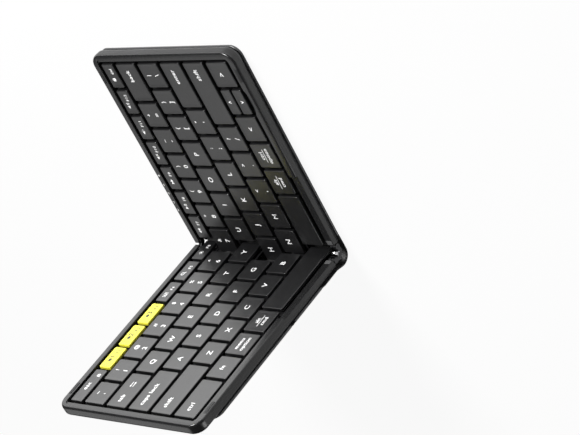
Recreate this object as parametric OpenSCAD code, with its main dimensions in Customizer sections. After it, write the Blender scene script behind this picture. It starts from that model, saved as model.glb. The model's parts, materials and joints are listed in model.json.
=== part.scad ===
// Two-part folding keyboard: two key decks joined by a link hinge that turns
// about two parallel axes, in a leather cover whose flap slides over one deck.
// The right deck lies flat on the origin plane, the left deck stands up.

/* [Keys] */
// Distance between neighbouring keys in a row
key_pitch = 19; // [18.6:0.1:19.4]
// Distance between neighbouring rows
row_pitch = 18.7; // [18.3:0.1:19.1]
// Gap between keycaps in a row
key_gap = 1.9; // [1.5:0.1:2.4]
// Gap between keycaps of neighbouring rows
row_gap = 2.5; // [2:0.1:3]
// Depth of the keycaps in the short top row
short_depth = 9.7; // [9:0.1:10.5]
// Gap between the upper and lower arrow keycap
arrow_gap = 1.2; // [0.8:0.1:1.6]
// Corner radius of a keycap
cap_radius = 0.9; // [0.5:0.1:1.4]
// Height of a keycap's skirt
cap_height = 1.9; // [1.6:0.1:2]
// Thickness of a keycap's top and skirt
cap_wall = 0.9; // [0.7:0.1:1]
// How far a key travels when it is pressed
key_travel = 1.3; // [1:0.1:1.4]
// Width of the escape key in key pitches
esc_units = 1.47; // [1.4:0.01:1.48]

/* [Case] */
// From the outer keycaps to the case's end
end_margin = 6.5; // [6:0.1:8]
// From the short row's keycaps to the back of the case
back_margin = 6.5; // [6:0.1:8]
// From the front keycaps to the front of the case
front_margin = 7.5; // [7:0.1:9]
// Outer corner radius of the case
case_radius = 8; // [6:0.5:10]
// Height of the case from its underside to the keytops
case_height = 7; // [7:0.1:8]
// How far the rim stands above the keytops
rim_height = 0.4; // [0.2:0.1:0.4]
// Chamfer along the rim's outer edge
rim_chamfer = 0.6; // [0.3:0.1:0.8]
// Height of the bottom shell
shell_height = 2.6; // [2.4:0.1:2.7]
// Floor thickness of the bottom shell
floor_t = 0.8; // [0.6:0.1:1]
// How far the bottom shell curves in under the case
shell_inset = 2.6; // [2:0.1:3.2]
// Clearance between the key well and the keycaps at the end and back
well_gap = 1.6; // [1.2:0.1:2]
// Clearance between the key well and the front keycaps
front_gap = 2.6; // [2.2:0.1:3]
// Width of the ledge inside the rim at the case's end
ledge_width = 1.6; // [1:0.1:2]
// Depth of the ledge below the rim
ledge_drop = 0.5; // [0.3:0.1:0.8]
// Length of the lowered front rim beside the hinge
low_rim_length = 57.5; // [50:0.5:62]
// How far that stretch lies below the rim
low_rim_drop = 1.4; // [1:0.1:1.6]

/* [Hinge] */
// Distance between the two hinge axes
axis_spacing = 8; // [7.6:0.1:8.4]
// Depth of the hinge axes below the keytops
axis_depth = 3.24; // [3.1:0.02:3.3]
// Angle of the left deck from flat
fold = 88.6; // [86:0.2:90]
// Radius of the hinge eyes
eye_radius = 1.8; // [1.6:0.1:1.9]
// Radius of the hinge pins
pin_radius = 0.8; // [0.7:0.05:0.9]
// Running clearance around a pin
pin_clearance = 0.05; // [0.03:0.01:0.08]
// Width of each link along its pins
link_width = 2.5; // [2.2:0.1:2.6]
// Half the thickness of a link's bowed bar
link_half = 1.2; // [1:0.1:1.3]
// How far the links bow out towards the leather
link_bow = 2.8; // [2.7:0.1:2.9]
// Width of a bracket's eye along its pin
bracket_width = 1.3; // [1.1:0.1:1.4]
// Length of a bracket's arm inside the case
bracket_arm = 12; // [10:0.5:16]
// From the hinge line to the end of the rims
rim_end = 2.75; // [2.6:0.05:3]

/* [Inside] */
// Thickness of the steel support plates
plate_t = 0.4; // [0.3:0.05:0.5]
// Thickness of the contact membranes
membrane_t = 0.2; // [0.15:0.05:0.3]
// Radius of a rubber dome
dome_radius = 2.2; // [1.8:0.1:2.6]
// Outer length of a scissor frame
scissor_length = 9; // [8:0.5:9.5]
// Outer width of the wider scissor frame
scissor_width = 8; // [7:0.5:9]
// Thickness of the scissor frames
scissor_t = 0.7; // [0.5:0.1:0.8]
// Length of each of the two battery cells
cell_length = 35; // [28:1:37]
// Width of a battery cell
cell_width = 44; // [30:1:46]
// Thickness of a battery cell
cell_t = 1.9; // [1.5:0.1:2]
// Circuit board length
board_length = 84; // [60:1:90]
// Circuit board width
board_width = 20; // [14:1:22]
// Circuit board thickness
board_t = 0.8; // [0.6:0.1:0.9]
// From the hinge line to the charging socket
port_x = 100; // [96:1:104]
// Width of the charging socket
port_width = 8.9; // [8.6:0.1:9.2]
// Height of the charging socket
port_height = 3.1; // [3:0.05:3.2]
// Width of the ribbon cable through the hinge
ribbon_width = 9; // [6:1:11]

/* [Cover] */
// Thickness of the leather-covered boards
cover_t = 1.8; // [1.6:0.1:2]
// Gap between the case and the boards
cover_gap = 0.2; // [0.15:0.05:0.3]
// Thickness of the soft leather
leather_t = 0.9; // [0.8:0.1:1]
// How far the boards stay inside the case's edge
cover_inset = 0.8; // [0.5:0.1:1.5]
// From the hinge line to the right board
board_start = 8; // [8:0.5:10]
// From the hinge line to the crease beside the spine
crease_near = 22.15; // [21:0.25:24]
// Width of the prop board
prop_width = 29; // [27:0.5:31]
// Gap between the prop board and the stand board
crease_gap = 3.2; // [3.2:0.1:3.6]
// Stretch of the left deck that the cover leaves bare at its end
bare_strip = 14.1; // [13.9:0.1:16]
// Radius of the leather bend at the spine
spine_radius = 7; // [6.8:0.1:7.4]
// How far the spine leather stands off the left deck
spine_bulge = 1.5; // [1.4:0.1:1.8]
// Half the angle of the spine's middle strip
strip_angle = 16; // [12:1:18]
// Diameter of the flap's magnets
magnet_d = 8; // [6:0.5:9]
// From the flap's end to its magnets
magnet_place = 9; // [7:0.5:12]

/* [Trim] */
// Length of a rubber bumper
bumper_length = 9; // [7:0.5:11]
// Width of a rubber bumper
bumper_width = 2.4; // [2:0.1:2.6]
// How far a bumper stands above the rim
bumper_proud = 0.25; // [0.1:0.05:0.3]
// From the outer keycap's edge to a bumper's middle
bumper_place = 9; // [8:0.5:14]
// Distance between the status lights
light_pitch = 6.65; // [6:0.05:7]
// Width of a status light
light_width = 2; // [1.5:0.1:3]
// From the hinge line to the first status light
light_start = 28.8; // [26:0.2:32]
// Radius of a case screw's head
screw_head = 1; // [0.9:0.1:1.1]
// Radius of a case screw's thread
screw_radius = 0.6; // [0.5:0.05:0.7]

/* [Hidden] */
$fn = 48;

// Key rows from the case's end to the hinge, each width in key pitches.
LEFT = [[esc_units, 1, 1, 1, 1, 1, 1], [1, 1, 1, 1, 1, 1, 1], [1.5, 1, 1, 1, 1, 1, 1],
    [1.75, 1, 1, 1, 1, 1], [2.125, 1, 1, 1, 1, 1], [1.625, 1, 1, 1, 2.875]];
RIGHT = [[1, 1, 1, 1, 1, 1, 1], [1.5, 1, 1, 1, 1, 1, 1], [1, 1, 1, 1, 1, 1, 1],
    [1.75, 1, 1, 1, 1, 1, 1], [2.375, 1, 1, 1, 1, 1], [1, 1, 1, 1, 1, 2]];
ROWS = 5;
slack = 0.1;

// Heights, from the leather's outer face up.
case_z = cover_t + cover_gap;
key_z = case_z + case_height;
rim_z = key_z + rim_height;
part_z = case_z + shell_height;
cap_z = key_z - cap_height;
membrane_z = cap_z - key_travel - slack;
plate_z = membrane_z - membrane_t;
under_plate_z = plate_z - plate_t;
floor_z = case_z + floor_t;
axis_z = key_z - axis_depth;

// Widths from the hinge line and depths from the middle of the case.
field = 7.25 * key_pitch;
case_end = field + end_margin;
key_depth = row_pitch - row_gap;
case_depth = back_margin + short_depth + ROWS * row_pitch + front_margin;
short_y = case_depth / 2 - back_margin - short_depth;
well_back = case_depth / 2 - back_margin + well_gap + 0.4;
well_front = front_margin - case_depth / 2 - front_gap;
well_end = field + well_gap;
pin = [axis_spacing / 2, axis_z];

function sum_to(row, i) = i <= 0 ? 0 : row[i - 1] + sum_to(row, i - 1);
function cap_outer(row, i) = field - key_pitch * sum_to(row, i);
function cap_inner(row, i) = cap_outer(row, i + 1) + key_gap;
function row_y(j) = short_y - j * row_pitch;
function row_depth(j) = j == 0 ? short_depth : key_depth;
// Half a row gap beyond a row's keycaps, to cut or fill the deck along the row.
function row_from(j) = j == ROWS ? well_front : row_y(j) - row_gap / 2;
function row_to(j) = j == 0 ? well_back : row_y(j) + row_depth(j) + row_gap / 2;
// Positive where the innermost keycap of a row reaches over the hinge line.
function overhang(row) = -cap_inner(row, len(row) - 1);

// Points of an arc about a centre.
function arc(c, r, a0, a1, n = 8) =
    [for (k = [0:n]) c + r * [cos(a0 + (a1 - a0) * k / n), sin(a0 + (a1 - a0) * k / n)]];
// Rectangle with round corners.
function round_box(x0, y0, x1, y1, r, n = 4) = concat(
    arc([x1 - r, y0 + r], r, -90, 0, n), arc([x1 - r, y1 - r], r, 0, 90, n),
    arc([x0 + r, y1 - r], r, 90, 180, n), arc([x0 + r, y0 + r], r, 180, 270, n));
// Outline of one deck: square at the hinge and round at the far corners.
function deck(x0, inset) = let (r = case_radius - inset, c = case_end - case_radius,
        y = case_depth / 2 - case_radius) concat(
    [[x0, -case_depth / 2 + inset]], arc([c, -y], r, -90, 0, 12), arc([c, y], r, 0, 90, 12),
    [[x0, case_depth / 2 - inset]]);

// Turn a point of the x-z plane about a centre, the way a deck closes.
function turn(p, c, a) = let (q = p - c)
    c + [q[0] * cos(a) + q[1] * sin(a), q[1] * cos(a) - q[0] * sin(a)];
function on_link(p) = turn(p, pin, fold / 2);
function on_left(p) = on_link(turn(p, [-pin[0], pin[1]], fold / 2));

module about(c, a) {
    translate([c[0], 0, c[1]]) rotate([0, a, 0]) translate([-c[0], 0, -c[1]]) children();
}
// Places what is drawn in the open, flat position.
module link_place() { about(pin, fold / 2) children(); }
module left_place() { link_place() about([-pin[0], pin[1]], fold / 2) children(); }
module left_half() { left_place() mirror([1, 0, 0]) children(); }
module slab(points, z0, z1) { translate([0, 0, z0]) linear_extrude(z1 - z0) polygon(points); }
module block(x0, y0, z0, x1, y1, z1) { translate([x0, y0, z0]) cube([x1 - x0, y1 - y0, z1 - z0]); }
// A rod or a bore along Y.
module rod(x, z, r, y0, y1) { translate([x, y1, z]) rotate([90, 0, 0]) cylinder(r = r, h = y1 - y0); }
module both_ends() { children(); mirror([0, 1, 0]) children(); }

/* ---- keys ---- */
module keycap(x0, y0, x1, y1) {
    difference() {
        slab(round_box(x0, y0, x1, y1, cap_radius), cap_z, key_z);
        block(x0 + cap_wall, y0 + cap_wall, cap_z - 1, x1 - cap_wall, y1 - cap_wall, key_z - cap_wall);
    }
}
module caps(row_list, j, from, to) {
    row = row_list[j];
    for (i = [from:to])
        keycap(cap_inner(row, i), row_y(j), cap_outer(row, i), row_y(j) + row_depth(j));
}
half_arrow = (key_depth - arrow_gap) / 2;
module arrow(y0) {
    keycap(cap_inner(RIGHT[ROWS], 1), y0, cap_outer(RIGHT[ROWS], 1), y0 + half_arrow);
}
module left_caps(j, from, to) { color("#4b4b4d") left_half() caps(LEFT, j, from, to); }
module right_caps(j, from, to) { color("#4b4b4d") caps(RIGHT, j, from, to); }
module device_cap(i) { color("#f4e94b") left_half() caps(LEFT, 0, i, i); }

module esc_key() { left_caps(0, 0, 0); }
module device_key_1() { device_cap(1); }
module device_key_2() { device_cap(2); }
module device_key_3() { device_cap(3); }
module function_keys_left() { left_caps(0, 4, 6); }
module number_keys_left() { left_caps(1, 0, 6); }
module tab_key() { left_caps(2, 0, 0); }
module upper_letters_left() { left_caps(2, 1, 6); }
module caps_lock_key() { left_caps(3, 0, 0); }
module home_letters_left() { left_caps(3, 1, 5); }
module left_shift_key() { left_caps(4, 0, 0); }
module lower_letters_left() { left_caps(4, 1, 5); }
module modifier_keys_left() { left_caps(5, 0, 3); }
module left_space_key() { left_caps(5, 4, 4); }
module function_keys_right() { right_caps(0, 0, 6); }
module backspace_key() { right_caps(1, 0, 0); }
module number_keys_right() { right_caps(1, 1, 6); }
module upper_letters_right() { right_caps(2, 0, 6); }
module enter_key() { right_caps(3, 0, 0); }
module home_letters_right() { right_caps(3, 1, 6); }
module right_shift_key() { right_caps(4, 0, 0); }
module lower_letters_right() { right_caps(4, 1, 5); }
module side_arrow_keys() { right_caps(5, 0, 0); right_caps(5, 2, 2); }
module arrow_up_key() { color("#4b4b4d") arrow(row_y(ROWS) + key_depth - half_arrow); }
module arrow_down_key() { color("#4b4b4d") arrow(row_y(ROWS)); }
module modifier_keys_right() { right_caps(5, 3, 4); }
module right_space_key() { right_caps(5, 5, 5); }

/* ---- under the keys ---- */
// Calls its children at the middle of every key of a deck, with $short true
// where the cap is too shallow for a full scissor.
module at_keys(rows) {
    for (j = [0:ROWS]) for (i = [0:len(rows[j]) - 1]) {
        x = max((cap_inner(rows[j], i) + cap_outer(rows[j], i)) / 2, scissor_width / 2 + deck_gap);
        split = rows == RIGHT && j == ROWS && i == 1;
        if (split) for (y = [half_arrow / 2, key_depth - half_arrow / 2])
            translate([x, row_y(j) + y, 0]) let ($short = true) children();
        else
            translate([x, row_y(j) + row_depth(j) / 2, 0]) let ($short = j == 0) children();
    }
}
dome_top = key_z - cap_wall - slack / 2;
module domes(rows) {
    at_keys(rows) translate([0, 0, membrane_z])
        cylinder(r = $short ? dome_radius * 0.6 : dome_radius, h = dome_top - membrane_z);
}
module scissor_frame(l, w, tilt) {
    translate([0, 0, (dome_top + membrane_z) / 2]) rotate([tilt, 0, 0]) difference() {
        cube([w, l, scissor_t], center = true);
        cube([w - 2 * scissor_t, l - 2 * scissor_t, 2 * scissor_t], center = true);
    }
}
module scissors(rows) {
    rise = dome_top - membrane_z - scissor_t - 2 * slack;
    at_keys(rows) {
        l = $short ? scissor_length * 0.6 : scissor_length;
        tilt = asin(rise / l);
        scissor_frame(l, scissor_width, tilt);
        scissor_frame(l, scissor_width - 2 * scissor_t - 2 * slack, -tilt);
    }
}
module right_domes() { color("#7d7f83") domes(RIGHT); }
module left_domes() { color("#7d7f83") left_half() domes(LEFT); }
module right_scissors() {
    color("#d8d9da") difference() { scissors(RIGHT); at_keys(RIGHT) dome_hole(); }
}
module left_scissors() {
    color("#d8d9da") left_half() difference() { scissors(LEFT); at_keys(LEFT) dome_hole(); }
}
module dome_hole() {
    translate([0, 0, membrane_z - 1]) cylinder(r = ($short ? dome_radius * 0.6 : dome_radius) + slack, h = 9);
}

// The innermost edge of a deck along each row: it follows its own keycaps and
// keeps clear of the other deck's, which swing through it when the decks fold.
swing = 1.35;
swing_share = 1.02;
deck_gap = 0.3;
deep = 5;
deep_relief = 0.6;
function deck_edge(own, other, j) = overhang(other[j]) > 0
    ? overhang(other[j]) * swing_share + swing - (overhang(other[j]) > deep ? deep_relief : 0)
    : deck_gap;
module deck_sheet(own, other, z0, z1) {
    for (j = [0:ROWS]) {
        x0 = max(deck_edge(own, other, j), deck_gap);
        block(x0, row_from(j) - 0.01, z0, well_end, row_to(j), z1);
    }
}
// Bosses that hold the support plate off the bottom shell.
boss_x = [30, 78, field - 8];
boss_y = [-44, 10, 46];
boss_radius = 2.5;
module plate(own, other) {
    intersection() {
        deck_sheet(own, other, under_plate_z, plate_z);
        slab(round_box(-20, well_front + slack, well_end - slack, well_back - slack, 2), 0, rim_z);
    }
}
module membrane(own, other) {
    intersection() {
        deck_sheet(own, other, plate_z, membrane_z);
        slab(round_box(deck_gap + 0.7, well_front + 1, well_end - 1, well_back - 1, 1), 0, rim_z);
    }
}
module right_support_plate() { color("#2c2c2e") plate(RIGHT, LEFT); }
module left_support_plate() { color("#2c2c2e") left_half() plate(LEFT, RIGHT); }
module right_membrane() { color("#1f2326") membrane(RIGHT, LEFT); }
module left_membrane() { color("#1f2326") left_half() membrane(LEFT, RIGHT); }

/* ---- case ---- */
// The link's bay at a deck's edge, and the narrower bay of the bracket's eye inside it.
link_play = 0.35;
bracket_play = 0.45;
bay_mid = case_depth / 2 - link_width - link_play;
bay_in = bay_mid - bracket_width - bracket_play;
bay_x = axis_spacing / 2 + eye_radius + 0.5;
skin_z = rim_z - 1;
screw_x = [24, field - 22];
screw_y = case_depth / 2 - 3.4;
// The room that the link and the brackets' eyes need in a deck, at both ends.
module hinge_bays() {
    both_ends() {
        block(-1, bay_mid, case_z - 1, bay_x, case_depth / 2 + 1, skin_z);
        block(-1, bay_in - 0.3, axis_z - eye_radius - 0.25, bay_x, bay_mid + 1, skin_z);
        block(-1, bay_in, part_z - 0.01, axis_spacing / 2 + bracket_arm + 0.3, bay_in + bracket_width + 0.4,
            axis_z + eye_radius / 2 + 0.15);
    }
    // The front rim is cut away above the hinge.
    block(-1, -case_depth / 2 - 1, axis_z, bay_x + 0.4, well_front + 1, rim_z + 1);
}
rim_middle = 2.3;
module bumper_places() {
    for (y = [-1, 1]) translate([field - bumper_place, y * (case_depth / 2 - rim_middle), 0]) children();
}
module at_screws() { for (x = screw_x, y = [-1, 1]) translate([x, y * screw_y, 0]) children(); }
module top_case(own, other) {
    difference() {
        union() {
            slab(deck(rim_end, 0), part_z, rim_z - rim_chamfer);
            slab(deck(rim_end, rim_chamfer / 2), rim_z - rim_chamfer, rim_z - rim_chamfer / 3);
            slab(deck(rim_end, rim_chamfer), rim_z - rim_chamfer / 3, rim_z);
        }
        slab(round_box(-20, well_front, well_end, well_back, 2), part_z - 1, rim_z + 1);
        slab(round_box(case_end / 2, well_front + 0.6, well_end + ledge_width, well_back - 0.2, 2.6),
            rim_z - ledge_drop, rim_z + 1);
        block(-1, -case_depth / 2 - 1, rim_z - low_rim_drop, low_rim_length, well_front + 1, rim_z + 1);
        hinge_bays();
        bumper_places() translate([-bumper_length / 2, -bumper_width / 2, rim_z - 0.8])
            cube([bumper_length, bumper_width, 2]);
        at_screws() translate([0, 0, part_z - 1]) cylinder(r = screw_radius, h = 3.2);
    }
}
light_y = case_depth / 2 - 2.2;
light_depth = 1.2;
light_height = 1.6;
light_play = 0.02;
module at_lights() {
    for (k = [0:4]) translate([light_start + k * light_pitch, light_y, 0]) children();
}
port_z = part_z - 0.5;
module port_shape(grow, y0, y1) {
    r = port_height / 2 + grow;
    half = port_width / 2 - port_height / 2;
    for (s = [-1, 1]) rod(port_x + s * half, port_z + port_height / 2, r, y0, y1);
    block(port_x - half, y0, port_z + port_height / 2 - r, port_x + half, y1, port_z + port_height / 2 + r);
}
module light(play, above) {
    translate([-light_width / 2 - play, -light_depth / 2 - play, rim_z - light_height])
        cube([light_width + 2 * play, light_depth + 2 * play, light_height + above]);
}
module right_top_case() {
    color("#3b3b3d") difference() {
        top_case(RIGHT, LEFT);
        at_lights() light(light_play, light_height);
        port_shape(0.1, well_back - 1, case_depth / 2 + 1);
        scoop();
    }
}
// Finger scoop in the rim in front of the lower arrow key.
scoop_radius = 19.3;
scoop_reach = 1.8;
scoop_depth = 0.9;
module scoop() {
    translate([(cap_inner(RIGHT[ROWS], 1) + cap_outer(RIGHT[ROWS], 1)) / 2,
        well_front + scoop_radius - scoop_reach, rim_z - scoop_depth])
        cylinder(r = scoop_radius, h = 3, $fn = 96);
}
module left_top_case() { color("#3b3b3d") left_half() top_case(LEFT, RIGHT); }

// Tray whose sides curve in towards the underside.
module shell_form() {
    rise = shell_height;
    hull() {
        slab(deck(deck_gap, shell_inset), case_z, case_z + 0.01);
        slab(deck(deck_gap, shell_inset * 0.55), case_z + rise * 0.14, case_z + rise * 0.15);
        slab(deck(deck_gap, shell_inset * 0.24), case_z + rise * 0.38, case_z + rise * 0.39);
        slab(deck(deck_gap, shell_inset * 0.06), case_z + rise * 0.7, case_z + rise * 0.71);
        slab(deck(deck_gap, 0), part_z - 0.01, part_z);
    }
}
module shell(own, other) {
    difference() {
        shell_form();
        difference() {
            block(-1, well_front + 1.2, floor_z, well_end - 1.5, well_back - 1.2, rim_z);
            for (x = boss_x, y = boss_y) translate([x, y, 0]) cylinder(r = boss_radius, h = part_z);
        }
        // Bevel along the hinge, where the leather leaves the case.
        translate([deck_gap, 0, case_z + 1.9]) rotate([0, 25, 0])
            block(-9, -case_depth, -9, 9, case_depth, 0);
        for (j = [0:ROWS]) if (overhang(other[j]) > 0) block(-1, row_from(j), overhang(other[j]) > deep
            ? 0 : key_z - 5.3, deck_edge(own, other, j), row_to(j), rim_z);
        hinge_bays();
        at_screws() {
            translate([0, 0, case_z - 1]) cylinder(r = screw_radius + slack, h = 9);
            translate([0, 0, case_z - 1]) cylinder(r = screw_head + slack, h = 1.6);
        }
    }
    for (x = boss_x, y = boss_y) translate([x, y, floor_z - 0.1])
        cylinder(r = boss_radius, h = under_plate_z - floor_z + 0.1);
}
module right_bottom_shell() {
    color("#303032") difference() {
        shell(RIGHT, LEFT);
        block(port_x - port_width / 2 - 2, well_back - 3, floor_z, port_x + port_width / 2 + 2,
            case_depth / 2 - 1.6, rim_z);
        port_shape(0.1, well_back - 1, case_depth / 2 + 1);
    }
}
module left_bottom_shell() { color("#303032") left_half() shell(LEFT, RIGHT); }

module bumpers() {
    bumper_places() translate([-bumper_length / 2, -bumper_width / 2, rim_z - 0.8])
        slab(round_box(0.05, 0.05, bumper_length - 0.05, bumper_width - 0.05, 0.4), 0, 0.8 + bumper_proud);
}
module right_bumpers() { color("#232325") bumpers(); }
module left_bumpers() { color("#232325") left_half() bumpers(); }
module screws() {
    at_screws() {
        translate([0, 0, case_z]) cylinder(r = screw_head, h = 0.6);
        translate([0, 0, case_z + 0.5]) cylinder(r = screw_radius, h = part_z - case_z + 1.2);
    }
}
module right_screws() { color("#8f9194") screws(); }
module left_screws() { color("#8f9194") left_half() screws(); }
module status_lights() {
    color("#f2f2f2") at_lights() light(0, 0);
}

/* ---- electronics in the right deck ---- */
board_z = floor_z + 0.5;
board_y = well_back - 4;
board_past_port = 12;
board_x = port_x + board_past_port - board_length;
chip = 8;
module circuit_board() {
    color("#1d5e3c") difference() {
        union() {
            block(board_x, board_y - board_width, board_z, board_x + board_length, board_y, board_z + board_t);
            block(port_x - port_width / 2 - 1, board_y - 1, board_z, port_x + port_width / 2 + 1,
                case_depth / 2 - 2, board_z + board_t);
        }
        for (x = boss_x, y = boss_y) translate([x, y, 0]) cylinder(r = boss_radius + 0.3, h = part_z);
    }
    color("#26282b") for (x = board_x + chip * [1.5, 4])
        block(x, board_y - 2 * chip, board_z + board_t, x + chip, board_y - chip, board_z + board_t + 0.7);
    color("#8f9194") for (k = [0:3]) translate([board_x + 6 + k * (board_length - 12) / 3, board_y - 5, floor_z])
        cylinder(r = 1.2, h = board_z - floor_z);
}
// Two cells, each midway between two columns of bosses.
module battery() {
    y = boss_y[0] + boss_radius + 1.5;
    color("#b4b8bd") for (k = [0, 1]) {
        x = (boss_x[k] + boss_x[k + 1] - cell_length) / 2;
        slab(round_box(x, y, x + cell_length, y + cell_width, 1), floor_z, floor_z + cell_t);
    }
}
module charging_port() {
    color("#b9bbbe") difference() {
        port_shape(0, well_back - 0.9 + 1.2, case_depth / 2 - 0.1);
        port_shape(-0.3, well_back + 1.5, case_depth / 2 + 1);
    }
    color("#26282b") block(port_x - 3.2, well_back + 1, port_z + port_height / 2 - 0.35, port_x + 3.2,
        case_depth / 2 - 1, port_z + port_height / 2 + 0.35);
}

/* ---- hinge ---- */
link_in = bay_mid + 0.1;
link_out = link_in + link_width;
bracket_in = bay_in + 0.15;
// One link in the flat position, bowed away from the keys.
module link() {
    knee = [axis_spacing / 2 - eye_radius, axis_z - link_bow];
    difference() {
        union() {
            for (s = [-1, 1]) {
                rod(s * pin[0], pin[1], eye_radius, link_in, link_out);
                rod(s * knee[0], knee[1], link_half, link_in, link_out);
                bar([s * pin[0], pin[1]], [s * knee[0], knee[1]]);
            }
            bar([-knee[0], knee[1]], [knee[0], knee[1]]);
        }
        for (s = [-1, 1]) rod(s * pin[0], pin[1], pin_radius, link_in - 1, link_out + 1);
    }
}
module bar(p, q) {
    v = q - p;
    translate([p[0], link_in, p[1]]) rotate([0, -atan2(v[1], v[0]), 0])
        translate([0, 0, -link_half]) cube([norm(v), link_width, 2 * link_half]);
}
module hinge_links() { color("#c9cbcd") link_place() both_ends() link(); }
module hinge_pins() {
    color("#e2e3e4") link_place() both_ends() for (s = [-1, 1])
        rod(s * pin[0], pin[1], pin_radius, bracket_in, link_out);
}
module bracket() {
    both_ends() difference() {
        union() {
            rod(pin[0], pin[1], eye_radius, bracket_in, bracket_in + bracket_width);
            block(pin[0], bracket_in, pin[1] - eye_radius / 2, pin[0] + bracket_arm, bracket_in + bracket_width,
                pin[1] + eye_radius / 2);
        }
        rod(pin[0], pin[1], pin_radius + pin_clearance, bracket_in - 1, bracket_in + bracket_width + 1);
    }
}
module right_hinge_bracket() { color("#a9abae") bracket(); }
module left_hinge_bracket() { color("#a9abae") left_half() bracket(); }

/* ---- leather cover ---- */
// The spine's outer face in the x-z plane: along the floor, round a bend, and
// up the left deck's back, standing off it a little beside the hinge.
up = [-cos(fold), sin(fold)];
out = [sin(fold), cos(fold)];
back = on_left([0, 0]);
bend_x = (spine_radius - spine_bulge + back * out - spine_radius * cos(fold)) / sin(fold);
bend = [bend_x, spine_radius];
function on_bend(a, r) = bend - r * [sin(a), cos(a)];
bend_end = on_bend(fold, spine_radius);
// Distance from the hinge line of the left deck to the end of the bend.
end_x = (bend_end - back) * up;
settle = 13;
function ease(t) = let (u = min(max(t, 0), 1)) u * u * (3 - 2 * u);
function on_back(x, h) = back + up * x + out * (h - spine_bulge * (1 - ease((x - end_x - 2) / settle)));
// A stretch of the sheet as a closed outline.
function bend_sheet(a0, a1, n) = concat([for (k = [0:n]) on_bend(a0 + (a1 - a0) * k / n, spine_radius)],
    [for (k = [n:-1:0]) on_bend(a0 + (a1 - a0) * k / n, spine_radius - leather_t)]);
function back_sheet(x0, x1, n) = concat([for (k = [0:n]) on_back(x0 + (x1 - x0) * k / n, 0)],
    [for (k = [n:-1:0]) on_back(x0 + (x1 - x0) * k / n, leather_t)]);
leather_y = case_depth / 2 - cover_inset;
module sheet(points) {
    translate([0, leather_y, 0]) rotate([90, 0, 0]) linear_extrude(2 * leather_y) polygon(points);
}
soft_end = 4;
module spine_leather() {
    color("#403f3e") {
        sheet([[board_start - slack, 0], [board_start - slack, leather_t], [bend[0], leather_t], [bend[0], 0]]);
        sheet(bend_sheet(0, fold / 2 - strip_angle - 1, 8));
        sheet(bend_sheet(fold / 2 + strip_angle + 1, fold, 8));
        sheet(back_sheet(end_x, soft_end, 4));
    }
}
module spine_strip() { color("#403f3e") sheet(bend_sheet(fold / 2 - strip_angle, fold / 2 + strip_angle, 8)); }
module cover_strip() { color("#403f3e") sheet(back_sheet(soft_end + slack, crease_near - slack, 16)); }
prop_end = crease_near + prop_width;
stand_start = prop_end + crease_gap;
module right_cover_panel() {
    color("#3d3c3b") slab([for (p = deck(board_start, cover_inset)) p], 0, cover_t);
}
module prop_panel() {
    color("#3d3c3b") left_half() block(crease_near, -leather_y, 0, prop_end, leather_y, cover_t);
}
module crease_leather() {
    color("#403f3e") left_half() block(prop_end + slack, -leather_y, 0, stand_start - slack, leather_y, leather_t);
}
function stand_outline(inset) = let (x1 = stand_start + stand_width, y = leather_y, r = case_radius - cover_inset)
    concat([[stand_start, -y]], arc([x1 - r, -y + r], r, -90, 0, 12), arc([x1 - r, y - r], r, 0, 90, 12),
        [[stand_start, y]]);
stand_width = case_end - bare_strip - stand_start;
magnet_x = stand_start + stand_width - magnet_place;
magnet_y = leather_y * 0.52;
magnet_t = 1;
module at_magnets() { for (y = [-magnet_y, magnet_y]) translate([magnet_x, y, cover_t - magnet_t]) children(); }
module stand_panel() {
    color("#3d3c3b") left_half() difference() {
        slab(stand_outline(0), 0, cover_t);
        at_magnets() cylinder(d = magnet_d, h = 2);
    }
}
module flap_magnets() { color("#9a9ca0") left_half() at_magnets() cylinder(d = magnet_d - slack, h = magnet_t - 0.05); }

// Ribbon cable from the right deck through the hinge into the left deck.
ribbon_t = 0.3;
ribbon_z = floor_z + 1.2;
ribbon_y = row_y(4) + key_depth / 2;
ribbon_r = 4;
module ribbon_cable() {
    corner_x = (back * out + (ribbon_z + ribbon_r) - (ribbon_z + ribbon_r) * cos(fold)) / sin(fold);
    c = [corner_x, ribbon_z + ribbon_r];
    tip = c - ribbon_r * [sin(fold), cos(fold)];
    start = [14, ribbon_z];
    lift = ribbon_t * [sin(fold), cos(fold)];
    color("#b5722f") translate([0, ribbon_y + ribbon_width / 2, 0]) rotate([90, 0, 0]) linear_extrude(ribbon_width)
        polygon(concat([start], [for (k = [0:8]) c - ribbon_r * [sin(fold * k / 8), cos(fold * k / 8)]],
            [tip + 10 * up, tip + 10 * up + lift],
            [for (k = [8:-1:0]) c - (ribbon_r - ribbon_t) * [sin(fold * k / 8), cos(fold * k / 8)]],
            [start + [0, ribbon_t]]));
}

right_top_case();
right_bottom_shell();
right_support_plate();
right_membrane();
right_domes();
right_scissors();
circuit_board();
battery();
charging_port();
status_lights();
right_bumpers();
right_screws();
right_hinge_bracket();
right_cover_panel();
left_top_case();
left_bottom_shell();
left_support_plate();
left_membrane();
left_domes();
left_scissors();
left_bumpers();
left_screws();
left_hinge_bracket();
hinge_links();
hinge_pins();
ribbon_cable();
spine_leather();
spine_strip();
cover_strip();
prop_panel();
crease_leather();
stand_panel();
flap_magnets();
esc_key();
device_key_1();
device_key_2();
device_key_3();
function_keys_left();
number_keys_left();
tab_key();
upper_letters_left();
caps_lock_key();
home_letters_left();
left_shift_key();
lower_letters_left();
modifier_keys_left();
left_space_key();
function_keys_right();
backspace_key();
number_keys_right();
upper_letters_right();
enter_key();
home_letters_right();
right_shift_key();
lower_letters_right();
side_arrow_keys();
arrow_up_key();
arrow_down_key();
modifier_keys_right();
right_space_key();
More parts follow.
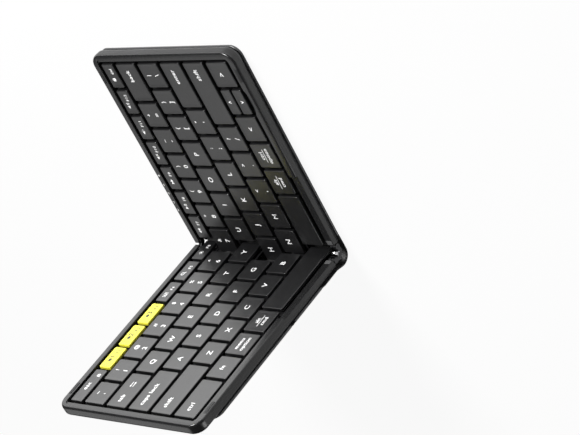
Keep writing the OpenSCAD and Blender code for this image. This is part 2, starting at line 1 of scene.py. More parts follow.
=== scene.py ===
# %% [markdown]
# # A folding keyboard in a leather cover
# The object is a thin two-part keyboard. Its right half lies flat, its left half stands up, and a
# small link hinge joins them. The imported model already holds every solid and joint, so this script
# only dresses it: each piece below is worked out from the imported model's own boxes and axes.
#
# Lengths are in metres, as Blender has them. Sizes that a maker would give in millimetres are
# written as a number times MM.

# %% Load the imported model
import json
import math
import bmesh
import bpy
import numpy as np
from mathutils import Matrix, Vector


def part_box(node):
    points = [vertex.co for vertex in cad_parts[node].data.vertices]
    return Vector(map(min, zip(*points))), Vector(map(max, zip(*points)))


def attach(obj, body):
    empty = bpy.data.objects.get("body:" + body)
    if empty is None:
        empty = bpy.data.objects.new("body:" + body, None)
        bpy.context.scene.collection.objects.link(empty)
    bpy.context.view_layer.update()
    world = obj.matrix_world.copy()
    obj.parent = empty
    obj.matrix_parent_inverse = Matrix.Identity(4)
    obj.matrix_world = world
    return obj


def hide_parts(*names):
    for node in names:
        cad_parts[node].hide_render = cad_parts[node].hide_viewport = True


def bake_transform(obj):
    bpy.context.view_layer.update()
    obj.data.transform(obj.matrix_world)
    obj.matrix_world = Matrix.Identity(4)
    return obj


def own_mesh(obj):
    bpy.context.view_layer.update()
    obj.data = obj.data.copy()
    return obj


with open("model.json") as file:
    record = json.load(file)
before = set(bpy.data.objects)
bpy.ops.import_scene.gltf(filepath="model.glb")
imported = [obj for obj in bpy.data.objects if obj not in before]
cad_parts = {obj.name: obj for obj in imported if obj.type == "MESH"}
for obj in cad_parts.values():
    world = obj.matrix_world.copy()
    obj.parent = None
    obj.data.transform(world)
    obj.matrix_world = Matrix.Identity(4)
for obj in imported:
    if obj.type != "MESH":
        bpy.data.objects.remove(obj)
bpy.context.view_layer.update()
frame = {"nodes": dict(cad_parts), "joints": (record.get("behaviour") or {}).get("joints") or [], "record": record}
NODES = frame["nodes"]
JOINTS = {joint["name"]: joint for joint in frame["joints"]}
MM = 0.001
BODIES = frame["record"]["behaviour"]["bodies"]
frame_body = {node: body for body, nodes in BODIES.items() for node in nodes}

# %% [markdown]
# ## Two ways of placing things
# Everything is first drawn as if the keyboard lay open and flat, with the hinge line at x = 0, the
# right half towards +x and the left half towards -x. Points of the left half are then carried up
# onto the raised half. The three vectors for that come from the joints: a left key is pressed
# inwards along -OUT, and the cover's flap slides towards the hinge along -UP.

# %% From the open keyboard to the raised left half
OUT = -np.array(JOINTS["press_esc_key"]["axis"], float)
UP = -np.array(JOINTS["flap_slide"]["axis"], float)
LOWER_AXIS = np.array(JOINTS["fold_lower"]["pos_m"], float)
UPPER_AXIS = np.array(JOINTS["fold_upper"]["pos_m"], float)
BACK = UPPER_AXIS - LOWER_AXIS[0] * UP - LOWER_AXIS[2] * OUT
FOLD = math.atan2(UP[2], -UP[0])


def on_left(points):
    """Open-keyboard points carried to the raised half: BACK - x along UP, z along OUT, y kept."""
    points = np.asarray(points, float)
    along, height = -points[..., 0:1], points[..., 2:3]
    return BACK + along * UP + height * OUT + points[..., 1:2] * np.array([0.0, 1.0, 0.0])


def on_right(points):
    """The right half already lies where it was drawn."""
    return np.asarray(points, float)


print("fold", round(math.degrees(FOLD), 2), "left half starts at", BACK.round(5))

# %% [markdown]
# ## Meshes from arrays
# A shape here is a stack of rings: closed outlines with the same number of points, one above the
# other. Neighbouring rings are joined with quads, and the first and last ring are closed with a
# face. A keycap, a board and a strip of leather are all such stacks, so one function serves all.

# %% Ring stacks
def stack_faces(levels, count):
    """Quads between ring k and k+1: each joins points i and i+1 of both rings, round the ring."""
    ring = np.arange(count)
    lower = np.arange(levels - 1)[:, None] * count + ring
    following = np.arange(levels - 1)[:, None] * count + np.roll(ring, -1)
    quads = np.stack([lower, following, following + count, lower + count], -1)
    return quads.reshape(-1, 4).tolist()


def stack(rings):
    """One closed solid from rings of shape (levels, count, 3), with both ends closed."""
    rings = np.asarray(rings, float)
    levels, count = rings.shape[:2]
    faces = stack_faces(levels, count)
    faces.append(list(range(count))[::-1])
    faces.append([(levels - 1) * count + i for i in range(count)])
    return rings.reshape(-1, 3), faces


def make_piece(name, solids, material, smooth_angle=35.0):
    """One object from a list of (points, faces), each with its own numbering from 0."""
    points = np.concatenate([solid[0] for solid in solids])
    faces, offset = [], 0
    for part_points, part_faces in solids:
        faces += [[i + offset for i in face] for face in part_faces]
        offset += len(part_points)
    mesh = bpy.data.meshes.new(name)
    mesh.from_pydata(points.tolist(), [], faces)
    mesh.shade_smooth()
    mesh.set_sharp_from_angle(angle=math.radians(smooth_angle))
    mesh.materials.append(material)
    piece = bpy.data.objects.new(name, mesh)
    bpy.context.scene.collection.objects.link(piece)
    return piece


def round_box(x0, y0, x1, y1, radius, per_corner=5):
    """Outline of a rectangle with round corners, anticlockwise, as (points, 2)."""
    radius = max(min(radius, (x1 - x0) / 2, (y1 - y0) / 2), 1e-6)
    turn = quarter_turn(per_corner)
    corners = [(x1 - radius, y0 + radius, -math.pi / 2), (x1 - radius, y1 - radius, 0.0),
               (x0 + radius, y1 - radius, math.pi / 2), (x0 + radius, y0 + radius, math.pi)]
    sides = [np.stack([cx + radius * np.cos(a + turn), cy + radius * np.sin(a + turn)], -1)
             for cx, cy, a in corners]
    return np.concatenate(sides)


def at_height(outline, z):
    """A flat outline lifted to height z, as (points, 3)."""
    return np.column_stack([outline, np.full(len(outline), z)])


def smoothstep(t):
    """0 at t = 0 and 1 at t = 1, level at both: t^2 (3 - 2 t)."""
    return t * t * (3 - 2 * t)


def quarter_turn(count):
    """Angles from 0 to 90 degrees, in radians."""
    return np.linspace(0, math.pi / 2, count)


unit_box = stack([at_height(round_box(0, 0, 1, 1, 0.1), z) for z in (0, 1)])
print("ring stack of a unit box:", len(unit_box[1]), "faces")

# %% [markdown]
# ## Finishes
# The case and the keys are moulded charcoal plastic with a fine spark texture, the cover is
# pebbled leather, and the hinge is dark steel. A picture could be wrapped round each piece, but
# noise and cells need no picture and no unwrapping, and they are as sharp from close by. Plastics
# and metals read them in object coordinates, and the leather in its own flat sheet.

# %% Building blocks for finishes
def new_finish(name):
    """An empty material with its shader and the object coordinates."""
    material = bpy.data.materials.new(name)
    material.use_nodes = True
    tree = material.node_tree
    shader = tree.nodes["Principled BSDF"]
    coordinates = tree.nodes.new("ShaderNodeTexCoord")
    return material, tree, shader, coordinates.outputs["Object"]


def noise(tree, vector, scale, detail=3.0, roughness=0.5):
    """Cloudy grey values about 0.5; scale is in features per metre."""
    node = tree.nodes.new("ShaderNodeTexNoise")
    node.inputs["Scale"].default_value = scale
    node.inputs["Detail"].default_value = detail
    node.inputs["Roughness"].default_value = roughness
    tree.links.new(vector, node.inputs["Vector"])
    return node.outputs["Fac"]


def remap(tree, value, low, high, from_low=0.25, from_high=0.75):
    """A grey value stretched from one range onto another."""
    node = tree.nodes.new("ShaderNodeMapRange")
    node.inputs["From Min"].default_value = from_low
    node.inputs["From Max"].default_value = from_high
    node.inputs["To Min"].default_value = low
    node.inputs["To Max"].default_value = high
    tree.links.new(value, node.inputs["Value"])
    return node.outputs["Result"]


def mix_colours(tree, factor, first, second):
    """A colour between two others, by a grey value."""
    node = tree.nodes.new("ShaderNodeMix")
    node.data_type = "RGBA"
    tree.links.new(factor, node.inputs["Factor"])
    node.inputs["A"].default_value = (*first, 1)
    node.inputs["B"].default_value = (*second, 1)
    return node.outputs["Result"]


def bump(tree, shader, height, distance, strength=1.0):
    """Tilts the surface by a height field; distance is the relief in metres."""
    node = tree.nodes.new("ShaderNodeBump")
    node.inputs["Strength"].default_value = strength
    node.inputs["Distance"].default_value = distance
    tree.links.new(height, node.inputs["Height"])
    tree.links.new(node.outputs["Normal"], shader.inputs["Normal"])


def scaled(colour, factor):
    """A colour made lighter or darker."""
    return tuple(channel * factor for channel in colour)


print("a grey darkened by a tenth", scaled((0.5, 0.5, 0.5), 0.9))

# %% [markdown]
# The real keys and case are one kind of black plastic, moulded in two polishes, so both come from
# one function with another colour, roughness and gloss. The letters are white ink. A thin ink in
# the shade of a raised half would look grey, so the white ink glows a little.

# %% Plastic, print and rubber
def moulded_plastic(name, colour, roughness, spread=0.12, grain=5200.0, relief=0.00002, coat=0.0,
                    gloss=0.5):
    """Moulded plastic: an even colour with a slight cloudiness, and a fine spark texture."""
    material, tree, shader, place = new_finish(name)
    cloud = noise(tree, place, 45.0, 2.0)
    tint = mix_colours(tree, remap(tree, cloud, 0.0, 1.0), scaled(colour, 1 - spread),
                       scaled(colour, 1 + spread))
    tree.links.new(tint, shader.inputs["Base Color"])
    sparkle = noise(tree, place, grain, 2.0, 0.6)
    tree.links.new(remap(tree, sparkle, roughness - 0.06, roughness + 0.06), shader.inputs["Roughness"])
    shader.inputs["Specular IOR Level"].default_value = gloss
    shader.inputs["Coat Weight"].default_value = coat
    shader.inputs["Coat Roughness"].default_value = 0.25
    bump(tree, shader, sparkle, relief, 0.5)
    return material


key_plastic = moulded_plastic("key_plastic", (0.009, 0.009, 0.0095), 0.32, gloss=0.95)
case_plastic = moulded_plastic("case_plastic", (0.012, 0.012, 0.0125), 0.26, gloss=0.6)
shell_plastic = moulded_plastic("shell_plastic", (0.008, 0.008, 0.009), 0.24, gloss=0.6)
device_plastic = moulded_plastic("device_plastic", (0.9, 0.84, 0.07), 0.45, spread=0.04)
print_white = moulded_plastic("print_white", (0.93, 0.93, 0.93), 0.5, spread=0.03, grain=9000.0)
print_black = moulded_plastic("print_black", (0.03, 0.03, 0.028), 0.5, grain=9000.0)
bumper_rubber = moulded_plastic("bumper_rubber", (0.022, 0.022, 0.023), 0.62, grain=2600.0, relief=0.00004)
deck_film = moulded_plastic("deck_film", (0.008, 0.008, 0.009), 0.5)
coated_plate = moulded_plastic("coated_plate", (0.012, 0.012, 0.013), 0.42)
dome_rubber = moulded_plastic("dome_rubber", (0.16, 0.16, 0.17), 0.4)
scissor_plastic = moulded_plastic("scissor_plastic", (0.2, 0.2, 0.205), 0.35)
ink_shader = print_white.node_tree.nodes["Principled BSDF"]
ink_shader.inputs["Emission Color"].default_value = (1, 1, 1, 1)
ink_shader.inputs["Emission Strength"].default_value = 0.2
light_plastic = moulded_plastic("light_plastic", (0.9, 0.9, 0.88), 0.35, spread=0.03)
light_window = moulded_plastic("light_window", (0.02, 0.02, 0.021), 0.25)
board_lacquer = moulded_plastic("board_lacquer", (0.012, 0.09, 0.035), 0.3, spread=0.25, coat=0.4)
ribbon_film = moulded_plastic("ribbon_film", (0.012, 0.012, 0.013), 0.3, spread=0.15, coat=0.3)
print("finishes", len(bpy.data.materials))

# %% [markdown]
# The cover's grain is pressed in: rounded pebbles with a darker valley between them. Cells from a
# Voronoi pattern give the pebbles, and a little noise moves their middles so that no row shows.
# The boards' cut edges get a smooth edge paint, as a maker does it, in a dark grey that is lighter than the
# leather; the lighter tone is partly a painted highlight along the rounded edges.

# %% Leather, and edge paint with a painted highlight
def pebbled_leather(name):
    """Charcoal leather: rounded cells about 1.2 mm across read in the flat sheet, with a darker
    valley between them, cloudy tone, and fine pores on the cells."""
    material, tree, shader, _ = new_finish(name)
    laid = tree.nodes.new("ShaderNodeAttribute")
    laid.attribute_name = "laid"
    cells = tree.nodes.new("ShaderNodeTexVoronoi")
    cells.feature, cells.distance = "SMOOTH_F1", "EUCLIDEAN"
    cells.inputs["Scale"].default_value = 850.0
    cells.inputs["Smoothness"].default_value = 0.35
    wander = noise(tree, laid.outputs["Vector"], 260.0, 2.0)
    offset = tree.nodes.new("ShaderNodeVectorMath")
    offset.operation = "MULTIPLY_ADD"
    tree.links.new(wander, offset.inputs[0])
    offset.inputs[1].default_value = (0.0012, 0.0012, 0.0)
    tree.links.new(laid.outputs["Vector"], offset.inputs[2])
    tree.links.new(offset.outputs[0], cells.inputs["Vector"])
    valley = remap(tree, cells.outputs["Distance"], 1.0, 0.0, 0.15, 0.75)
    pores = noise(tree, laid.outputs["Vector"], 5200.0, 3.0, 0.6)
    height = tree.nodes.new("ShaderNodeMath")
    height.operation = "MULTIPLY_ADD"
    tree.links.new(pores, height.inputs[0])
    height.inputs[1].default_value = 0.18
    tree.links.new(valley, height.inputs[2])
    cloud = remap(tree, noise(tree, laid.outputs["Vector"], 30.0, 3.0), 0.8, 1.2)
    tone = mix_colours(tree, valley, (0.022, 0.022, 0.022), (0.052, 0.052, 0.052))
    shade = tree.nodes.new("ShaderNodeMix")
    shade.data_type, shade.blend_type = "RGBA", "MULTIPLY"
    shade.inputs["Factor"].default_value = 1.0
    tree.links.new(tone, shade.inputs["A"])
    tree.links.new(cloud, shade.inputs["B"])
    tree.links.new(shade.outputs["Result"], shader.inputs["Base Color"])
    tree.links.new(remap(tree, valley, 0.62, 0.46, 0.0, 1.0), shader.inputs["Roughness"])
    shader.inputs["Sheen Weight"].default_value = 0.12
    shader.inputs["Sheen Roughness"].default_value = 0.4
    bump(tree, shader, height.outputs[0], 0.00012, 0.7)
    return material


leather = pebbled_leather("leather")
# Edge paint lighter grey than the leather: partly real edge paint, partly a painted highlight on the rounded board
# edges.
edge_paint_highlight = moulded_plastic("edge_paint_highlight", (0.075, 0.075, 0.077), 0.3, coat=0.2)
print("leather finishes", leather.name, edge_paint_highlight.name)

# %% [markdown]
# Metal is drawn with noise that is stretched along one way, as a brush or a roller leaves it. The
# hinge is dark, the screws and the port are bright, and the cells' foil is dull and uneven.

# %% Metal
def brushed_metal(name, colour, roughness, stretch=(400.0, 9000.0, 9000.0), relief=0.000006):
    """Satin metal: noise stretched along x tilts the surface and varies its gloss."""
    material, tree, shader, place = new_finish(name)
    lines = tree.nodes.new("ShaderNodeVectorMath")
    lines.operation = "MULTIPLY"
    tree.links.new(place, lines.inputs[0])
    lines.inputs[1].default_value = stretch
    grain = noise(tree, lines.outputs[0], 1.0, 3.0, 0.6)
    tint = mix_colours(tree, grain, scaled(colour, 0.9), scaled(colour, 1.08))
    tree.links.new(tint, shader.inputs["Base Color"])
    tree.links.new(remap(tree, grain, roughness - 0.07, roughness + 0.07), shader.inputs["Roughness"])
    shader.inputs["Metallic"].default_value = 1.0
    bump(tree, shader, grain, relief, 0.6)
    return material


insert_plastic = moulded_plastic("insert_plastic", (0.11, 0.11, 0.112), 0.25)
dark_steel = brushed_metal("dark_steel", (0.07, 0.07, 0.072), 0.36)
bright_steel = brushed_metal("bright_steel", (0.72, 0.72, 0.73), 0.22)
cell_foil = brushed_metal("cell_foil", (0.5, 0.52, 0.55), 0.38, (900.0, 900.0, 900.0), 0.00004)
print("finishes", len(bpy.data.materials))

# %% [markdown]
# ## The keys
# Each keycap is one thin moulding about 17 mm wide and 16 mm deep with a barely dished top. The
# row of nodes gives the pitch and the gaps, so the caps are worked out from three boxes. Every cap
# is a ring stack: from the ceiling of its hollow down the inside, round the skirt's lip, up the
# drafted side, over a small fillet and in across the dish. One piece holds the caps of one node.

# %% Key layout from the boxes
RIGHT_ROWS = ["function_keys_right", "number_keys_right", "upper_letters_right",
              "home_letters_right", "lower_letters_right", "modifier_keys_right"]
HINGE_UNITS, ENTER_UNITS = 7.25, 1.75
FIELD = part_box("enter_key")[1].x
PITCH = FIELD / HINGE_UNITS
KEY_GAP = ENTER_UNITS * PITCH - (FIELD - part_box("enter_key")[0].x)
ROW_SPAN = [(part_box(node)[0].y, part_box(node)[1].y) for node in RIGHT_ROWS]
KEY_LOW, KEY_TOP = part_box("enter_key")[0].z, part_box("enter_key")[1].z
CAP_WALL, CAP_RADIUS, DISH = 0.9 * MM, 1.1 * MM, 0.09 * MM
DRAFT, CAP_FILLET, DISH_END = 0.12 * MM, 0.35 * MM, 2.4 * MM
HALF_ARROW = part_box("arrow_down_key")[1].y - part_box("arrow_down_key")[0].y


def keycap(x0, y0, x1, y1):
    """A hollow cap. Outside, inset = DRAFT, then a quarter circle of CAP_FILLET, then
    depth = DISH * smoothstep(t), with t = 0 at the fillet's end and 1 at DISH_END."""
    def ring(inset, z):
        return at_height(round_box(x0 + inset, y0 + inset, x1 - inset, y1 - inset,
                                   max(CAP_RADIUS - inset, 0.25 * MM)), z)
    ceiling = KEY_TOP - CAP_WALL
    rings = [ring(CAP_WALL, ceiling), ring(CAP_WALL - 0.1 * MM, KEY_LOW + 0.05 * MM),
             ring(CAP_WALL - 0.15 * MM, KEY_LOW), ring(0.08 * MM, KEY_LOW), ring(0.0, KEY_LOW + 0.08 * MM)]
    for turn in quarter_turn(5):
        rings.append(ring(DRAFT + CAP_FILLET * (1 - math.cos(turn)),
                          KEY_TOP - CAP_FILLET + CAP_FILLET * math.sin(turn)))
    dish_start = DRAFT + CAP_FILLET
    for inset in (0.9 * MM, 1.4 * MM, 1.9 * MM, DISH_END):
        t = (inset - dish_start) / (DISH_END - dish_start)
        rings.append(ring(inset, KEY_TOP - DISH * smoothstep(t)))
    return stack(rings)


print("pitch", round(PITCH / MM, 3), "gap", round(KEY_GAP / MM, 3), "rows", len(ROW_SPAN))

# %% [markdown]
# ## The legends
# The legends are printed flat on the caps: a letter in the middle, two signs one behind the other
# on the number keys, small words near the outer edge of the wide keys, and a drawing with a small
# number on the short row. Each is a very thin closed solid that stands a hundredth of a
# millimetre proud, so that it takes its own ink finish. Space bars stay bare. A picture on the
# cap could carry the legend too, but a solid stays sharp from close by. The letters come from
# Blender's built-in typeface, thickened a little.

# %% Letters
INK = 0.012 * MM
LETTER_GAP, THICKENED = 1.08, 0.014
FILLS_IN = set("M4")


def text_solid(words, size, align, x, y, z):
    """Letters of a plain typeface as a thin solid, `size` high, about (x, y, z). Thickening would
    fill in the signs of FILLS_IN, so words that hold one stay as they are."""
    curve = bpy.data.curves.new("letters", "FONT")
    curve.body, curve.size, curve.align_x, curve.align_y = words, size, align, "CENTER"
    curve.extrude, curve.resolution_u, curve.space_character = INK, 3, LETTER_GAP
    curve.offset = 0.0 if set(words) & FILLS_IN else THICKENED * size
    maker = bpy.data.objects.new("letters", curve)
    bpy.context.scene.collection.objects.link(maker)
    bpy.context.view_layer.update()
    mesh = bpy.data.meshes.new_from_object(maker)
    work = bmesh.new()
    work.from_mesh(mesh)
    bmesh.ops.remove_doubles(work, verts=work.verts, dist=1e-7)
    points = np.array([v.co[:] for v in work.verts]) + [x, y, z]
    faces = [[v.index for v in f.verts] for f in work.faces]
    work.free()
    bpy.data.objects.remove(maker)
    bpy.data.curves.remove(curve)
    bpy.data.meshes.remove(mesh)
    return points, faces


print("letters stand", INK / MM, "mm proud")

# %% [markdown]
# The signs, such as a lock or a loudspeaker, are drawn in millimetres about their own middle. Each
# is a list of closed outlines. Lines are drawn with a flat pen, and a full circle stops a little
# short of its start, so that its outline doesn't touch itself.

# %% Small drawings
def flat_solid(outline, x, y, z):
    """A closed outline in mm as a thin solid about (x, y, z)."""
    outline = np.asarray(outline, float) * MM + [x, y]
    following = np.roll(outline, -1, axis=0)
    area = np.sum(outline[:, 0] * following[:, 1] - outline[:, 1] * following[:, 0])
    outline = outline if area > 0 else outline[::-1]
    return stack([at_height(outline, z - INK), at_height(outline, z + INK)])


def stroke(points, width):
    """Outline of a line drawn with a flat pen: the points moved half a width to both sides."""
    points = np.asarray(points, float)
    along = np.gradient(points, axis=0)
    along /= np.linalg.norm(along, axis=1)[:, None]
    side = np.stack([-along[:, 1], along[:, 0]], -1) * width / 2
    return np.concatenate([points + side, (points - side)[::-1]])


def arc(x, y, radius, start, end, count=14):
    """Points of an arc, with the angles in degrees."""
    turn = np.radians(np.linspace(start, end, count))
    return np.stack([x + radius * np.cos(turn), y + radius * np.sin(turn)], -1)


def bar(x0, y0, x1, y1):
    """Corners of an upright rectangle."""
    return [(x0, y0), (x1, y0), (x1, y1), (x0, y1)]


def open_box(x0, y0, x1, y1, width):
    """Outline of an empty frame, drawn in one line that stops just short of its start."""
    return stroke([(x0, y0), (x0, y1), (x1, y1), (x1, y0), (x0 + 0.05, y0)], width)


def waves(x, spread, *radii):
    """Arcs round a point at x, open by spread degrees to both sides."""
    return [stroke(arc(x, 0, radius, -spread, spread), THIN) for radius in radii]


def line(x0, y0, x1, y1, width):
    """Outline of one straight line."""
    return stroke([(x0, y0), (x1, y1)], width)


THIN = 0.26
SPEAKER = [(-1.3, -0.4), (-0.7, -0.4), (0.0, -1.0), (0.0, 1.0), (-0.7, 0.4), (-1.3, 0.4)]
SUN_RAYS = [(math.cos(a), math.sin(a)) for a in np.arange(8) * math.pi / 4]
DRAWINGS = {
    "dot": [arc(0, 0, 0.9, 0, 345, 20)],
    "lock": [bar(-0.8, -1.1, 0.8, 0.2), stroke(arc(0, 0.2, 0.55, 0, 180), 0.28)],
    "link": [arc(-1.4, 0, 0.35, 0, 330)] + waves(-1.4, 45, 0.95, 1.55),
    "lens": [stroke(arc(-0.3, 0.3, 0.8, 0, 350, 22), 0.3), line(0.25, -0.3, 1.1, -1.1, 0.4)],
    "boxes": [open_box(-1.3, -0.9, 1.3, 0.9, THIN),
              bar(-0.8, -0.1, -0.2, 0.4), bar(0.2, -0.1, 0.8, 0.4), bar(-0.7, -0.6, 0.7, -0.35)],
    "sun": [arc(0, 0, 0.5, 0, 345, 16)]
    + [stroke(np.outer([0.8, 1.2], ray), 0.24) for ray in SUN_RAYS],
    "back": [[(-1.5, 0), (-0.1, -0.9), (-0.1, 0.9)], [(-0.2, 0), (1.2, -0.9), (1.2, 0.9)]],
    "play": [[(-1.4, -0.9), (0.1, 0), (-1.4, 0.9)], bar(0.4, -0.9, 0.7, 0.9), bar(1.0, -0.9, 1.3, 0.9)],
    "next": [[(1.5, 0), (0.1, 0.9), (0.1, -0.9)], [(0.2, 0), (-1.2, 0.9), (-1.2, -0.9)]],
    "mute": [SPEAKER, line(0.5, -0.6, 1.5, 0.6, THIN), line(0.5, 0.6, 1.5, -0.6, THIN)],
    "soft": [SPEAKER] + waves(-0.2, 40, 1.0),
    "loud": [SPEAKER] + waves(-0.2, 40, 1.0, 1.6),
    "tab": [line(-0.8, 0.75, 1.4, 0.75, 0.28), [(-1.6, 0.75), (-0.7, 0.25), (-0.7, 1.25)],
            line(-1.4, -0.75, 0.8, -0.75, 0.28), [(1.6, -0.75), (0.7, -0.25), (0.7, -1.25)]],
    "rule": [bar(-3.4, -0.13, 3.4, 0.13)],
    "cell": [open_box(-1.1, -0.55, 0.8, 0.55, 0.2),
             bar(0.95, -0.25, 1.15, 0.25), bar(-0.8, -0.3, 0.3, 0.3)],
}
print("drawings", len(DRAWINGS))

# %% [markdown]
# A legend is a short list of texts and drawings, each with its place on the key. There are only a
# few kinds, so each kind is a small function: one letter, two signs, a word near the edge, two
# words in the middle, and the drawings of the short row and the device keys.

# %% Kinds of legend
LETTER, ARROW, UPPER_SIGN, LOWER_SIGN = 5.0, 4.4, 3.9, 4.8
WORD, STACKED_WORD, LABEL, DEVICE_LABEL, DEVICE_NUMBER = 4.2, 3.75, 3.1, 3.3, 5.2


def letter(sign, size=LETTER):
    """One sign in the middle of a key. Sizes and places in legends are in mm."""
    return [("text", sign, 0, 0, size, "CENTER")]


def pair(upper, lower):
    """The shifted sign behind the plain one."""
    return [("text", upper, 0, 3.4, UPPER_SIGN, "CENTER"), ("text", lower, 0, -3.6, LOWER_SIGN, "CENTER")]


def pairs(node, uppers, lowers):
    """Keys of one pitch with two signs each."""
    return [(node, 1, pair(upper, lower)) for upper, lower in zip(uppers, lowers)]


def letters(node, signs):
    """Keys of one pitch with one letter each."""
    return [(node, 1, letter(sign)) for sign in signs]


def word(text, edge):
    """A small word that starts (edge > 0) or ends (edge < 0) this far in from the key's edge."""
    return [("text", text, edge, 0.8, WORD, "LEFT" if edge > 0 else "RIGHT")]


def two_words(upper, lower, ruled):
    """Two small words one below the other in the middle of a key, with or without a line between."""
    high, low = (2.6, -2.2) if ruled else (2.3, -2.0)
    rule = [("draw", "rule", 0, 0.4)] if ruled else []
    return [("text", upper, 0, high, STACKED_WORD, "CENTER")] + rule + [
        ("text", lower, 0, low, STACKED_WORD, "CENTER")]


def short(drawing, label):
    """A drawing and a small number, on a key of the short row."""
    return [("draw", drawing, -2.6, 0.7), ("text", label, 3.1, -0.9, LABEL, "CENTER")]


def device(number):
    """A dot with the number of a paired device, and the key's own small number."""
    return [("draw", "dot", -2.2, 0.6), ("text", str(number), 0.4, 0.6, DEVICE_NUMBER, "CENTER"),
            ("text", "F%d" % number, 5.0, -0.9, DEVICE_LABEL, "CENTER")]


print("a legend of two signs", pair("?", "/"))

# %% [markdown]
# The layout is the common one of sixty-odd full keys and a short row, cut in two between the T, G, B
# and the Y, H, N. Each half is written down row by row from the case's end to the hinge, as the
# node that holds the key, its width in key pitches and its legend. Everything else about a key is
# worked out from that, so a legend can be changed without touching a shape.

# %% What is printed on which key
SHORT_LEFT = [("boxes", "F4"), ("lens", "F5"), ("sun", "F6")]
SHORT_RIGHT = [("lock", "del"), ("loud", "F12"), ("soft", "F11"), ("mute", "F10"), ("next", "F9"),
               ("play", "F8"), ("back", "F7")]
LEFT_LAYOUT = [
    [("esc_key", 1.47, word("esc", 9.4) + [("draw", "lock", 21.4, -0.8)])]
    + [("device_key_%d" % n, 1, device(n)) for n in (1, 2, 3)]
    + [("function_keys_left", 1, short(*legend)) for legend in SHORT_LEFT],
    pairs("number_keys_left", "~!@#$%^", "`123456"),
    [("tab_key", 1.5, word("tab", 4.2) + [("draw", "tab", 18.2, 0.6)])]
    + letters("upper_letters_left", "QWERTY"),
    [("caps_lock_key", 1.75, word("caps lock", 4.2))] + letters("home_letters_left", "ASDFG"),
    [("left_shift_key", 2.125, word("shift", 4.9))] + letters("lower_letters_left", "ZXCVB"),
    [("modifier_keys_left", 1.625, word("ctrl", 4.9)),
     ("modifier_keys_left", 1, word("fn", 6.6)),
     ("modifier_keys_left", 1, two_words("menu", "option", False)),
     ("modifier_keys_left", 1, two_words("alt", "cmd", True)),
     ("left_space_key", 2.875, [])],
]
RIGHT_LAYOUT = [
    [("function_keys_right", 1, short(*legend)) for legend in SHORT_RIGHT],
    [("backspace_key", 1.5, word("back", -4.9))] + pairs("number_keys_right", "+_)(*&", "=-0987"),
    pairs("upper_letters_right", "|}{", "\\][") + letters("upper_letters_right", "POIU"),
    [("enter_key", ENTER_UNITS, word("enter", -4.9))]
    + pairs("home_letters_right", "\":", "';") + letters("home_letters_right", "LKJH"),
    [("right_shift_key", 2.375, word("shift", -4.9))]
    + pairs("lower_letters_right", "?><", "/.,") + letters("lower_letters_right", "MN"),
    [("side_arrow_keys", 1, letter(">")),
     ("arrow_up_key", 1, []),
     ("side_arrow_keys", 1, letter("<")),
     ("modifier_keys_right", 1, two_words("ctrl", "option", True)),
     ("modifier_keys_right", 1, two_words("alt", "cmd", True)),
     ("right_space_key", 2, [])],
]
print("keys in each row", [len(row) for row in LEFT_LAYOUT], [len(row) for row in RIGHT_LAYOUT])

# %% [markdown]
# The rows are staggered, because their outer keys differ in width. So a key's place is found by
# adding up the widths of the keys before it, from the case's end towards the hinge.

# %% Where each key lies
def keys_of(layout, side):
    """(node, x0, y0, x1, y1, legend) of every key in open-keyboard coordinates; side is 1 or -1.
    The place of the up arrow holds two keys of half the depth."""
    keys = []
    for (y0, y1), row in zip(ROW_SPAN, layout):
        used = 0.0
        for node, width, legend in row:
            outer, inner = FIELD - used * PITCH, FIELD - (used + width) * PITCH + KEY_GAP
            used += width
            x0, x1 = sorted((side * outer, side * inner))
            if node == "arrow_up_key":
                keys.append(("arrow_down_key", x0, y0, x1, y0 + HALF_ARROW, letter("v", ARROW)))
                keys.append((node, x0, y1 - HALF_ARROW, x1, y1, letter("^", ARROW)))
            else:
                keys.append((node, x0, y0, x1, y1, legend))
    return keys


KEYS = [(on_left, *key) for key in keys_of(LEFT_LAYOUT, -1)]
KEYS += [(on_right, *key) for key in keys_of(RIGHT_LAYOUT, 1)]
KEYS_OF_NODE = {node: [key for key in KEYS if key[1] == node]
                for node in sorted({key[1] for key in KEYS})}
print("keys", len(KEYS), "nodes", len(KEYS_OF_NODE))

# %% [markdown]
# A legend is placed on its key here. F and J also have a raised bar that fingers find without
# looking. It is moulded with the cap, so it belongs to the cap's piece and not to the print.

# %% Prints and raised bars
DRAWING_SCALE, WIDE_KEY = 1.35, 1.3 * PITCH
HOMING_UNITS = {"home_letters_left": 4.75, "home_letters_right": 5.75}
BAR_PROFILE = [(0.0, -0.12), (0.0, 0.1), (0.06, 0.19), (0.16, 0.22)]


def printed(key):
    """The legend's solids on one key, standing on the flat of the dish. Places are counted from
    the key's middle, but words, and drawings on wide keys, from its edge."""
    place, _, x0, y0, x1, y1, legend = key
    x_mid, y_mid = (x0 + x1) / 2, (y0 + y1) / 2
    solids = []
    for kind, what, dx, dy, *rest in legend:
        x, y = x_mid + dx * MM, y_mid + dy * MM
        if kind == "text":
            size, align = rest
            if align != "CENTER":
                x = (x0 if dx > 0 else x1) + dx * MM
            solids.append(text_solid(what, size * MM, align, x, y, KEY_TOP - DISH))
        else:
            if x1 - x0 > WIDE_KEY:
                x = x0 + dx * MM
            solids += [flat_solid(np.asarray(outline) * DRAWING_SCALE, x, y, KEY_TOP - DISH)
                       for outline in DRAWINGS[what]]
    return [(place(points), faces) for points, faces in solids]


def pad(x0, y0, x1, y1, radius, z, profile, per_corner=5, shrink=0.0):
    """A low pad over a rectangle. The profile holds the inset and the height over z of each ring,
    in mm, and a corner's radius is radius - shrink * inset."""
    rings = []
    for inset, height in profile:
        inset *= MM
        outline = round_box(x0 + inset, y0 + inset, x1 - inset, y1 - inset,
                            radius - shrink * inset, per_corner)
        rings.append(at_height(outline, z + height * MM))
    return stack(rings)


def homing_bar(x_mid, y0):
    """A low bar near the cap's front edge, drawn in a little along its top."""
    return pad(x_mid - 2.0 * MM, y0 + 2.1 * MM, x_mid + 2.0 * MM, y0 + 2.7 * MM, 0.29 * MM,
               KEY_TOP - DISH, BAR_PROFILE, 3, 1.0)


